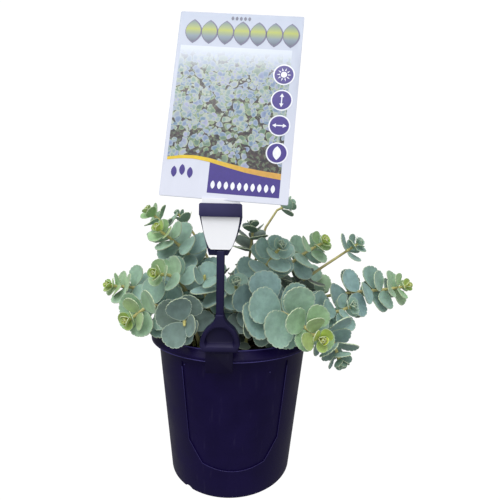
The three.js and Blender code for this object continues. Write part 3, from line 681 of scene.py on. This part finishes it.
# Label holder
def holder_band():
    """The band round the card's tail, with its slot."""
    half, low, high = BAND_HALF, BAND_BOTTOM, BAND_TOP
    shape = outline([
        (-half, low + 1), (1 - half, low), (half - 1, low), (half, low + 1), (half, high - 0.8),
        (half - 0.8, high), (0.8 - half, high), (-half, high - 0.8),
    ], HOLDER_X)
    slot = block(HOLDER_X - 13, HOLDER_X + 13, -76.9, -75.5, low - 2, high + 2)
    return soften(cut(plate(shape, -78.9, HOLDER_BACK), slot), 0.35)


def holder_back_plate():
    """The plate behind the card's tail, which narrows down to the stalk."""
    half = BAND_HALF
    shape = outline([
        (-half, BAND_TOP - 0.5), (-half, BAND_BOTTOM), (3.4 - half, 204, -7.6, 192.5), (5, 192.5),
        (half - 1.4, 206, half + 0.3, BAND_BOTTOM), (half, BAND_TOP - 0.5),
    ], HOLDER_X)
    return soften(plate(shape, -75.5, HOLDER_BACK), 0.3)


def arch_cut():
    """What is cut for the hood's recess, with a ledge at its foot that slopes to the front."""
    bm = plate(outline(ARCH), -80, -75.4)
    for v in bm.verts:
        if v.co.y > -76:
            v.co.x = -5.6 + (v.co.x + 5.6) * 0.9
            v.co.z = ARCH_FOOT + 2.6 + (v.co.z - ARCH_FOOT) * 0.79
    return bm


def holder_hood():
    hood = soften(plate(outline(HOOD), -79, -70.4), 1.8, 5)
    return soften(cut(hood, arch_cut()), 0.4, 2, 34)


def holder_clip():
    """The tongue outside the rim, the bridge over it and the leg inside it."""
    tongue = plate(outline([
        (-15.7, 111.5), (-15.7, 110, -14.2, 110), (1.8, 110), (3.3, 110, 3.3, 111.5), (3.3, 129),
        (-15.7, 129),
    ]), -72.6, -70.4)
    bridge = block(-13, 1, -74, -56.2, 124.4, 127.4)
    leg = block(-12, 0, -58.2, -56.2, 96, 127.3)
    return joined(*(soften(part, 0.3) for part in (tongue, bridge, leg)))


def make_holder():
    # The stops paint light and shade by height: painted shade on the tongue outside the rim, a painted
    # highlight on the hood's ledge and painted light on the band at the top.
    plastic = moulded_polypropylene("moulded_violet_polypropylene", [
        (0.49, "#0e0827"), (0.53, "#151132"), (0.547, "#231f40"), (0.56, "#161233"), (0.7, "#1c1b3a"),
        (0.88, "#222342"), (0.92, "#37355a"),
    ], 0.42)
    stalk = soften(block(-8.45, -3.15, -77.2, HOLDER_BACK, 146, 195.6), 0.7, 3)
    parts = (
        ("band", holder_band()), ("back_plate", holder_back_plate()), ("stalk", stalk),
        ("hood", holder_hood()), ("clip", holder_clip()),
    )
    for name, bm in parts:
        finish_piece(f"holder_{name}", bm, [plastic], "label_holder", 32)


# Label card
def on_card(bm):
    """Moves a body from the card's own frame: X across, Z up from its foot and -Y out of its face."""
    bmesh.ops.transform(bm, matrix=CARD_FRAME, verts=bm.verts)
    return bm


def card_body():
    """The sheet, with its corners rounded."""
    half, top, corner = CARD_WIDTH / 2, CARD_LENGTH, 1.2
    shape = outline([
        (-half, corner), (-half, 0, corner - half, 0), (half - corner, 0), (half, 0, half, corner),
        (half, top - corner), (half, top, half - corner, top), (corner - half, top),
        (-half, top, -half, top - corner),
    ])
    return on_card(soften(plate(shape, -CARD_THICKNESS / 2, CARD_THICKNESS / 2), 0.12, 1, 60))


def card_tail():
    _, y, foot = CARD_FOOT
    shape = outline([
        (-12.6, foot + 1.2), (-12.6, 217), (-11, 204.5, -7.35, 197.5), (-6.15, 196.5), (6.15, 196.5),
        (7.35, 197.5), (11, 204.5, 12.6, 217), (12.6, foot + 1.2),
    ], HOLDER_X)
    return plate(shape, y - CARD_THICKNESS / 2, y + CARD_THICKNESS / 2)


def print_patch(points, level=1):
    """A thin closed patch of ink on the card's face, with the print's own map."""
    face_y = -CARD_THICKNESS / 2
    bm = plate(points, face_y - INK * level, face_y + 0.05)
    place = bm.loops.layers.uv.new("print")
    for face in bm.faces:
        for loop in face.loops:
            loop[place].uv = (loop.vert.co.x / PRINT_UNIT, loop.vert.co.z / PRINT_UNIT)
    return bm


def disc(x, z, radius, level, count=40):
    turn = 2 * pi / count
    points = [(x + radius * cos(i * turn), z + radius * sin(i * turn)) for i in range(count)]
    return print_patch(points, level)


def along_wave(x0, x1, count=28, rise=0, growth=0):
    """Points along the wave's lower edge, or over it by a rise that grows with the distance."""
    xs = (-40, -30, -22, -12, 0, 12, 24, 36.5)
    zs = (24.6, 26.2, 26.4, 25, 22.2, 19.6, 17.8, 16.4)
    return [(x, np.interp(x, xs, zs) + rise + growth * (x - x0)) for x in np.linspace(x0, x1, count)]


def leaf_lozenge(x, z, wide, high, level=2):
    """A printed leaf that stands on its tip at this place."""
    return print_patch(outline([
        (0, z), (wide * 0.62, z + high * 0.3, wide * 0.5, z + high * 0.78, 0, z + high),
        (-wide * 0.5, z + high * 0.78, -wide * 0.62, z + high * 0.3, 0, z),
    ], x)[:-1], level)


def sun_marks(x, z):
    """A plain sun: a disc and short rays."""
    marks = [disc(x, z, 2.1, 4, 24)]
    for i in range(10):
        c, s = cos(i * pi / 5), sin(i * pi / 5)
        points = [(a * c - b * s + x, a * s + b * c + z) for a, b in ((2.8, -0.5), (4.9, 0), (2.8, 0.5))]
        marks.append(print_patch(points, 4))
    return marks


def arrow_marks(x, z, upright):
    half = [(0.4, 0.0), (0.4, 2.4), (1.5, 2.4), (0, 5)]
    points = half + [(-a, b) for a, b in half[2::-1]]
    points += [(-a, -b) for a, b in half[1:]] + [(a, -b) for a, b in half[2:0:-1]]
    if not upright:
        points = [(b, a) for a, b in points]
    return [print_patch([(x + a * 0.95, z + b * 0.95) for a, b in points], 4)]


def make_print():
    """The card's print: a generic picture of round leaves, a wave, a strip and plain signs."""
    left, right = -40, 36.5
    picture = print_patch(along_wave(left, right, 40, 1.5) + [(right, 106), (left, 106)])
    row = np.arange(-32.5, 36, 11.2)
    shades = [leaf_lozenge(x + 0.3, 107.6, 14, 17.6) for x in row]
    leaves = [leaf_lozenge(x, TITLE_FOOT, 12.2, TITLE_HEIGHT, 3) for x in row]
    small = [leaf_lozenge(x, 125.6, 2.4, 3) for x in np.arange(-6, 8, 2.9)]
    signs = [(32.4, z) for z in (88.5, 70.6, 53, 34.2)]
    white = sun_marks(*signs[0]) + arrow_marks(*signs[1], True) + arrow_marks(*signs[2], False)
    white.append(leaf_lozenge(signs[3][0], signs[3][1] - 4.6, 6.4, 9.2, 4))
    white += [leaf_lozenge(x, 7, 3.3, 5.6, 3) for x in np.arange(-7.6, 34.5, 4.4)]
    sprig = [leaf_lozenge(x, 14.6 - abs(x + 29) * 0.3, 4.6, 7.6) for x in (-34.4, -29, -23.6)]
    band = print_patch(along_wave(left, right, 28, 1.9, 1.9 / 70) + along_wave(right, left), 2)
    strip = print_patch(along_wave(-11, right) + [(right, 4.2), (-11, 4.2)])
    parts = (
        ("picture", [picture], printed_foliage()),
        ("title_shades", shades, printed_ink("slate_violet_ink", "#57567a")),
        ("title", leaves, printed_title()),
        ("small_row", small, printed_ink("slate_ink", "#5a5f78")),
        ("wave", [band], printed_ink("gold_ink", "#dfc021", "#cf9f48")),
        ("strip", [strip], printed_ink("violet_ink", "#3a2a84")),
        ("sprig", sprig, printed_ink("sprig_ink", "#3a2a84")),
        ("discs", [disc(x, z, 6.4, 3) for x, z in signs], printed_ink("disc_ink", "#3d2d87")),
        ("rings", [disc(x, z, 7.3, 2) for x, z in signs] + white, printed_ink("white_ink", "#eceef8")),
    )
    for name, patches, ink in parts:
        finish_piece(f"print_{name}", on_card(joined(*patches)), [ink])


def make_card():
    # The sheet's colours, darker towards its top, are painted shade over the card's own lilac white; the
    # tail's brighter white is a lit copy of the same card, painted light.
    sheet = coated_card("painted_shade_lilac_card", "#d5d9e8", "#aab5cb")
    tail = coated_card("painted_light_white_card", "#f6f8fd", "#f6f8fd")
    finish_piece("card_sheet", card_body(), [sheet], "label_card")
    finish_piece("card_tail", card_tail(), [tail], "label_card")
    make_print()


# Stems' routes, as in the part's source
def run_along(line):
    """The distance run at each point of a line."""
    return np.cumsum([0] + [norm(b - a) for a, b in zip(line, line[1:])])


def samples(stem):
    """Evenly timed points along the stem's smooth route, and the distance run at each."""
    points = [np.array((*p, COLLAR)[:3], float) for p in stem[6:]]
    last = len(points) - 1
    line = []
    for i in range(SAMPLES + 1):
        p = last * i / SAMPLES
        k = min(int(p), last - 1)
        t = p - k
        x1, x2 = points[k], points[k + 1]
        x0 = points[k - 1] if k > 0 else 2 * points[0] - points[1]
        x3 = points[k + 2] if k + 2 <= last else 2 * points[last] - points[last - 1]
        t1, t2 = 0.5 * (x2 - x0), 0.5 * (x3 - x1)
        square = -3 * x1 + 3 * x2 - 2 * t1 - t2
        line.append(x1 + t1 * t + square * t ** 2 + (2 * x1 - 2 * x2 + t1 + t2) * t ** 3)
    return line, run_along(line)


def along(line, reach, distance):
    i = 1
    while i < len(line) - 1 and reach[i] < distance:
        i += 1
    return line[i - 1] + (line[i] - line[i - 1]) * (distance - reach[i - 1]) / (reach[i] - reach[i - 1])


def unit(v):
    return v / norm(v)


def spread(stem):
    """How far apart the stem's whorls are."""
    return 0.54 + 0.36 * stem[3]


def skeleton(stem):
    """The stem's points from its foot to its tip, and the spot of each whorl from the tip back."""
    line, reach = samples(stem)
    length = reach[-1]
    skipped = WHORL_FROM_TIP[stem[1]] - WHORL_FROM_TIP[0]
    whorls = [(d - skipped) * spread(stem) for d in WHORL_FROM_TIP[stem[1]:stem[2]]]
    whorls = [d for d in whorls if d < length - 7]
    cuts = [0] + [(a + b) / 2 for a, b in zip(whorls, whorls[1:])] + [whorls[-1] + 6]
    bare = length - cuts[-1]
    steps = ceil(bare / BARE_STEP)
    for _ in range(steps):
        cuts.append(cuts[-1] + bare / steps)
    points = [along(line, reach, length - d) for d in cuts]
    spots = []
    for i, d in enumerate(whorls):
        at = points[i] + (points[i + 1] - points[i]) * (d - cuts[i]) / (cuts[i + 1] - cuts[i])
        axis = unit(points[i] - points[i + 1])
        spots.append((at, unit(axis + (LIGHT - axis) * stem[5])))
    return points[::-1], spots


# Leaves' places, as in the part's source
def make_leaf(spot, turn, rise, length, width, stem, whorl):
    at, axis = spot
    side = unit(np.cross(axis, (0, 0, 1) if abs(axis[2]) < 0.8 else (1, 0, 0)))
    radial = side * cos(turn) + np.cross(side, axis) * sin(turn)
    out = radial * cos(rise) + axis * sin(rise)
    face = axis * cos(rise) - radial * sin(rise)
    axes = np.array((out * length, np.cross(face, out) * width, face * length))
    root = at + out * LEAF_FOOT
    return SimpleNamespace(root=root, axes=axes, length=length, stem=stem, whorl=whorl)


def blade(share, angle):
    """A blade's unit shape: its share of the way out to the edge and the angle from its tip."""
    back = (1 - np.cos(angle)) / 2
    return (
        0.47 * (1 + share * np.cos(angle)),
        0.54 * share * np.sin(angle) * (1 - 0.45 * back * back),
        LEAF_CUP * (share * share * (1 - 0.6 * back) - 0.4),
    )


def cover():
    """Points spread over the unit blade, by which leaves are kept clear of things."""
    rings = [blade(share, 2 * pi * (np.arange(n) + 0.5) / n - pi) for share, n in COVER_RINGS]
    return np.concatenate([np.stack((x, y, z), 1) for x, y, z in rings])


COVER = cover()


def leaf_points(leaf, unit_points):
    return leaf.root + unit_points @ leaf.axes


def clear_of_pot_and_label(points):
    """Whether points are clear of the soil, the rim and its front, the hood, the stalk and the card."""
    x, y, z = points.T
    r = np.hypot(x, y)
    aside = abs(x - HOLDER_X)
    blocked = (
        ((r < 60) & (z < 119.1)) | ((r >= 60) & (r < 72) & (z < 125.6))
        | ((y < -58) & (z < 127) & (x > -42) & (x < 54)) | ((y < -54) & (z < 148) & (aside < 16.5))
        | ((y < -71) & (z < 196) & (aside < 5)) | ((y < -71) & (z >= 190) & (aside < 16.5))
        | ((y < -40) & (z > BAND_TOP))
    )
    return not blocked.any()


def fits(leaf, placed, closeness):
    """The leaf's mark where it is clear of all that stands already, or else nothing."""
    points = leaf_points(leaf, COVER)
    middle = leaf_points(leaf, np.array([blade(0, 0)]))[0]
    radius = leaf.length * 0.7
    if not clear_of_pot_and_label(points):
        return None
    for other in placed:
        own = other.stem == leaf.stem
        if own and other.whorl in (None, leaf.whorl):
            continue
        if norm(middle - other.middle) > radius + other.radius + 4:
            continue
        gap = closeness * (OWN_LEAF_GAP if own else other.gap)
        apart = points[:, None, :] - other.points[None, :, :]
        if (apart ** 2).sum(2).min() < gap * gap:
            return None
    return SimpleNamespace(stem=leaf.stem, whorl=leaf.whorl, points=points, middle=middle, radius=radius,
                           gap=LEAF_GAP, leaf=leaf)


def place_leaf(spot, turn, rise, length, width, stem, whorl, placed, closeness=1):
    """Swings, lifts or shrinks a leaf until it is clear, or leaves it out and says so."""
    for size in (1, 0.86, 0.72):
        for lift in (0, 20, -20, 40):
            for swing in (0, 18, -18):
                turned_to, lifted_to = turn + radians(swing), rise + radians(lift)
                leaf = make_leaf(spot, turned_to, lifted_to, length * size, width * size, stem, whorl)
                found = fits(leaf, placed, closeness)
                if found:
                    placed.append(found)
                    return True
    return False


def stem_marks(stem, index):
    """Marks along a stem, of which leaves keep clear."""
    line, _ = samples(stem)
    marks = []
    for i in range(0, len(line), 12):
        some = np.array(line[i:i + 13])
        middle = some[len(some) // 2]
        radius = norm(some - middle, axis=1).max()
        marks.append(SimpleNamespace(stem=index, whorl=None, points=some, middle=middle, radius=radius,
                                     gap=STEM_GAP, leaf=None))
    return marks


def place_leaves():
    """Every leaf, stem by stem in order and from each tip back, and those left out."""
    placed = [mark for i, stem in enumerate(STEMS) for mark in stem_marks(stem, i)]
    missed = []
    for index, stem in enumerate(STEMS):
        for whorl, spot in enumerate(skeleton(stem)[1], stem[1]):
            for i in range(3):
                seed = index * 100 + whorl * 10 + i
                length = LEAF_LENGTH[whorl] * stem[3] * (0.94 + 0.14 * draw(seed))
                width = length * (0.94 + 0.14 * draw(seed + 0.3))
                rise = radians(LEAF_RISE_DEG[whorl] * (1 - 0.7 * stem[5]) - 6 + 12 * draw(seed + 0.5))
                turn = radians(stem[4] + whorl * 60 + i * 120 - 8 + 16 * draw(seed + 0.7))
                wish = (spot, turn, rise, length, width, index, whorl)
                if not place_leaf(*wish, placed):
                    missed.append(wish)
    return placed, missed


def place_inner_leaves(placed, missed):
    """Smaller leaves between the others and low on the stems, with at least one ring on each."""
    before = len(placed)
    for spot, turn, rise, length, width, index, whorl in missed:
        wish = (spot, turn + 0.5, rise, length * 0.85, width * 0.85, index, whorl)
        place_leaf(*wish, placed, INNER_CLOSENESS)
    for index, stem in enumerate(STEMS):
        line, reach = samples(stem)
        low = reach[-1] - 4
        step = 9.5 + 2 * draw(index + 0.2)
        start = (WHORL_FROM_TIP[stem[2] - 1] - WHORL_FROM_TIP[stem[1]]) * spread(stem) + step
        for k, d in enumerate(np.arange(min(start, low - 0.5), low, step)):
            at = along(line, reach, reach[-1] - d)
            if at[2] > INNER_TOP or hypot(at[0], at[1]) > INNER_REACH:
                continue
            axis = unit(at - along(line, reach, reach[-1] - d - 2))
            spot = (at, unit(axis + (LIGHT - axis) * 0.35 * (at[1] < 10)))
            for i in range(3):
                seed = 5000 + index * 100 + k * 10 + i
                length = 13 + 7 * draw(seed)
                turn = 2.1 * i + 1.05 * k + draw(seed + 0.4)
                rise = radians(5 + 30 * draw(seed + 0.6))
                wish = (spot, turn, rise, length, length * 0.95, index, INNER_WHORL)
                place_leaf(*wish, placed, INNER_CLOSENESS)
    return placed[before:]


# Leaf blades
def leaf_template(side_teeth, rings, notch, curl, seed, thickness):
    """One blade of unit length to be copied: scalloped, cupped, with its under side and edge."""
    last = 3 * side_teeth + 1.5
    segments = round(2 * last + 7)
    bm = bmesh.new()
    half = Matrix.Rotation(pi / segments, 4, "Z")
    bmesh.ops.create_circle(bm, cap_ends=True, segments=segments, radius=1, matrix=half)
    for ring in rings:
        middle = max(bm.faces, key=lambda f: len(f.verts))
        bmesh.ops.inset_region(bm, faces=[middle], thickness=ring, use_even_offset=False)
    bmesh.ops.poke(bm, faces=[max(bm.faces, key=lambda f: len(f.verts))])
    edge = bm.verts.layers.float.new("edge")
    upper_rim = [e for e in bm.edges if e.is_boundary]
    rim = {v for e in upper_rim for v in e.verts}
    for v in bm.verts:
        share, angle = v.co.xy.length, atan2(v.co.y, v.co.x)
        v[edge] = min(share, 1)
        around = abs(angle) * segments / (2 * pi)
        in_tooth = (around + 1.5) % 3 - 1.5
        if around < last - 0.2 and share > 0.5:
            if abs(in_tooth) > 1.2:
                share *= 1 - notch * (v in rim)
            else:
                around += in_tooth * 0.7
        degrees = 125 * around / last if around < last else 125 + 55 * (around - last) / 3.5
        angle = copysign(radians(degrees), angle)
        share *= 1 - 0.025 * (1 + sin(2 * angle + seed)) * (share > 0.3)
        x, y, z = blade(share, angle)
        z += 0.045 * curl * share ** 2 * sin(2 * angle + seed)
        z -= 0.05 * x * x * (0.4 + draw(seed + 0.9))
        z += 0.006 * share ** 3 * sin(5 * angle + 3 * seed)
        v.co = (x, y, z)
    doubled = bmesh.ops.duplicate(bm, geom=bm.verts[:] + bm.edges[:] + bm.faces[:])["geom"]
    for thing in doubled:
        if isinstance(thing, bmesh.types.BMVert):
            thing.co.z -= thickness
        elif isinstance(thing, bmesh.types.BMFace):
            thing.material_index = 1
    lower_rim = [e for e in doubled if isinstance(e, bmesh.types.BMEdge) and e.is_boundary]
    for face in bmesh.ops.bridge_loops(bm, edges=upper_rim + lower_rim)["faces"]:
        face.material_index = 2
    bmesh.ops.recalc_face_normals(bm, faces=bm.faces)
    return as_mesh(bm)


def leaf_shapes():
    """Big blades with eleven scallops, and small ones with seven for the rosettes' middles."""
    looks = ((0.6, 0.4), (-0.8, 1.9), (1.0, 3.3), (0.2, 4.6), (-0.4, 5.8), (0.9, 2.4), (-1.0, 0.9))
    big = [leaf_template(5, (0.13, 0.26, 0.29), 0.065, curl, seed, 0.038) for curl, seed in looks]
    small = [leaf_template(3, (0.12, 0.4), 0.08, curl, seed, 0.06) for curl, seed in looks[:3]]
    return big, small


def heart_leaves(index, stem, spot):
    """The smallest leaves, folded over each growing tip."""
    leaves = []
    for ring, (length, rise) in enumerate(HEARTS):
        at = spot[0] + spot[1] * (0.9 + 1.1 * ring)
        for i in range(3):
            seed = index * 100 + 70 + ring * 10 + i
            turn = radians(stem[4] - 60 * (ring + 1) + i * 120 - 8 + 16 * draw(seed))
            size = length * stem[3] * (0.92 + 0.16 * draw(seed + 0.3))
            leaf = make_leaf((at, spot[1]), turn, radians(rise), size, size * 0.95, index, -1 - ring)
            leaves.append(leaf)
    return leaves


def add_leaf(bm, layers, shapes, leaf, youth):
    """Adds one blade to a stem's leaves and marks its age and tint."""
    seed = leaf.stem * 50 + leaf.whorl * 7 + leaf.length
    kind = shapes[0] if leaf.length > 9 else shapes[1]
    before = len(bm.verts)
    bm.from_mesh(kind[int(draw(seed) * len(kind))])
    bm.verts.ensure_lookup_table()
    new = bm.verts[before:]
    turn = Matrix(leaf.axes.T.tolist()).to_4x4()
    bmesh.ops.transform(bm, matrix=Matrix.Translation(leaf.root.tolist()) @ turn, verts=new)
    for v in new:
        v[layers[0]] = youth
        v[layers[1]] = draw(seed + 0.4)


def keep_inside(leaf):
    """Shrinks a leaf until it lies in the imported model's box."""
    low, high = (np.array(corner) / MM for corner in cad_box)
    for _ in range(12):
        points = leaf_points(leaf, COVER)
        if (points > low + BOX_MARGIN).all() and (points < high - BOX_MARGIN).all():
            break
        leaf.axes *= 0.95
        leaf.length *= 0.95
    return leaf


def leaf_youth(leaf):
    """How young a leaf looks: 1 in the heart, 0 at the oldest."""
    whorl = leaf.whorl
    youth = 0.88 - 0.04 * whorl if whorl < 0 else YOUTH[whorl] + 0.08 * draw(leaf.length) - 0.04
    name = STEMS[leaf.stem][0]
    if name in BLUE_TIPS:
        youth = min(youth, 0.26 + 0.22 * youth)
    if name in OLD_STEMS:
        youth *= 0.25
    if name == "front_right" and whorl < 4:
        youth += 0.05
    return min(youth, 1)


def leafy_piece(name, leaves, shapes, skins, replaces=None):
    """One piece of many blades, with the marks that their material reads."""
    bm = bmesh.new()
    bm.verts.layers.float.new("edge")
    layers = [bm.verts.layers.float.new("youth"), bm.verts.layers.float.new("tint")]
    for leaf in leaves:
        add_leaf(bm, layers, shapes, keep_inside(leaf), leaf_youth(leaf))
    finish_piece(name, bm, skins, replaces, 55)


def stem_tube(stem, points, spots):
    """The stem from its root to its tip: tapering, and a little thicker where leaves stand."""
    path = [np.array((*stem[6], ROOT_DEPTH), float), *points]
    path.append(path[-1] + unit(path[-1] - path[-2]) * 2.2)
    marks = []
    for a, b in zip(path, path[1:]):
        steps = max(2, round(norm(b - a) / 1.6))
        marks += [a + (b - a) * i / steps for i in range(steps)]
    marks.append(path[-1])
    run = run_along(marks)
    shares = run / run[-1]
    radii = []
    for point, share in zip(marks, shares):
        near = min(norm(point - spot[0]) for spot in spots)
        radii.append(STEM_RADIUS * (1.0 - 0.35 * share) + 0.3 * exp(-(near / 1.6) ** 2))
    radii[-1] = 0.35
    bm = swept([m.tolist() for m in marks], radii, STEM_SIDES)
    youth = bm.verts.layers.float.new("youth")
    for i, v in enumerate(bm.verts):
        v[youth] = shares[i // STEM_SIDES]
    return bm


def leaf_skins():
    upper = leaf_skin("sedum_leaf_upper", [
        (0.0, "#49544a"), (0.14, "#6a7f77"), (0.3, "#88a8a7"), (0.5, "#91b1a0"), (0.72, "#9bbb8e"),
        (0.86, "#a2bc68"), (0.94, "#b3c94e"), (1.0, "#d2d84a"),
    ], "#bacbb6", 0.5)
    under = leaf_skin("sedum_leaf_under", [
        (0.0, "#63705f"), (0.3, "#8aaa9e"), (0.5, "#91b09b"), (0.72, "#9bb88c"), (0.86, "#a8bd72"),
        (1.0, "#d0d25c"),
    ], "#b4c6a8", 0.62)
    rim = leaf_skin("sedum_leaf_edge", [
        (0.0, "#8b937c"), (0.3, "#a9bda7"), (0.6, "#b4c59c"), (0.86, "#c0cd80"), (1.0, "#d4d870"),
    ], "#c0ceb0", 0.5)
    return [upper, under, rim]


def make_plant():
    skins = leaf_skins()
    bark = stem_skin()
    shapes = leaf_shapes()
    placed, missed = place_leaves()
    leaves = [thing.leaf for thing in placed if thing.leaf]
    inner = [thing.leaf for thing in place_inner_leaves(placed, missed)]
    for index, stem in enumerate(STEMS):
        points, spots = skeleton(stem)
        own = [leaf for leaf in leaves if leaf.stem == index]
        if stem[1] == 0:
            own += heart_leaves(index, stem, spots[0])
        node = f"stem_{stem[0]}"
        leafy_piece(f"leaves_{stem[0]}", own, shapes, skins, node)
        finish_piece(f"stalk_{stem[0]}", stem_tube(stem, points, spots), [bark], node, 0)
        low = [leaf for leaf in inner if leaf.stem == index]
        if low:
            leafy_piece(f"inner_leaves_{stem[0]}", low, shapes, skins)
    for mesh in shapes[0] + shapes[1]:
        bpy.data.meshes.remove(mesh)


# Camera and light
def make_camera():
    """The photograph's viewpoint: a wide lens close in front, tipped down a little."""
    data = bpy.data.cameras.new("camera")
    data.sensor_width = SENSOR_WIDTH
    data.lens = FOCAL_PIXELS / PICTURE_PIXELS * SENSOR_WIDTH
    data.clip_start = 0.01
    camera = new_object("camera", data)
    turn = Matrix.Rotation(CAMERA_TILT, 4, "X") @ Matrix.Rotation(CAMERA_ROLL, 4, "Z")
    camera.matrix_world = Matrix.Translation(Vector(CAMERA_PLACE) * MM) @ turn
    bpy.context.scene.camera = camera


def soft_sun(name, place, power, degrees):
    """A soft sun that shines from this side, as wide as this angle."""
    data = bpy.data.lights.new(name, "SUN")
    data.energy = power
    data.angle = radians(degrees)
    lamp = new_object(name, data)
    lamp.location = place
    lamp.rotation_euler = (-Vector(place)).to_track_quat("-Z", "Y").to_euler()


def make_studio():
    """White surroundings as in the photograph, which light the object less than they show."""
    world = bpy.data.worlds.new("studio")
    world.use_nodes = True
    tree = world.node_tree
    seen = add_node(tree, "LightPath", out="Is Camera Ray")
    strength = add_node(tree, "MapRange", {"Value": seen, "To Min": 0.29, "To Max": 1.05})
    background = tree.nodes["Background"].inputs
    tree.links.new(strength, background["Strength"])
    background["Color"].default_value = (1, 1, 1, 1)
    bpy.context.scene.world = world
    bpy.context.scene.view_settings.view_transform = "Standard"
    soft_sun("overhead_softbox", (-0.3, -0.38, 1), 2.9, 60)
    soft_sun("front_fill", (0.1, -1, 0.3), 1.1, 80)


make_camera()
make_studio()
make_pot()
make_soil()
make_holder()
make_card()
make_plant()
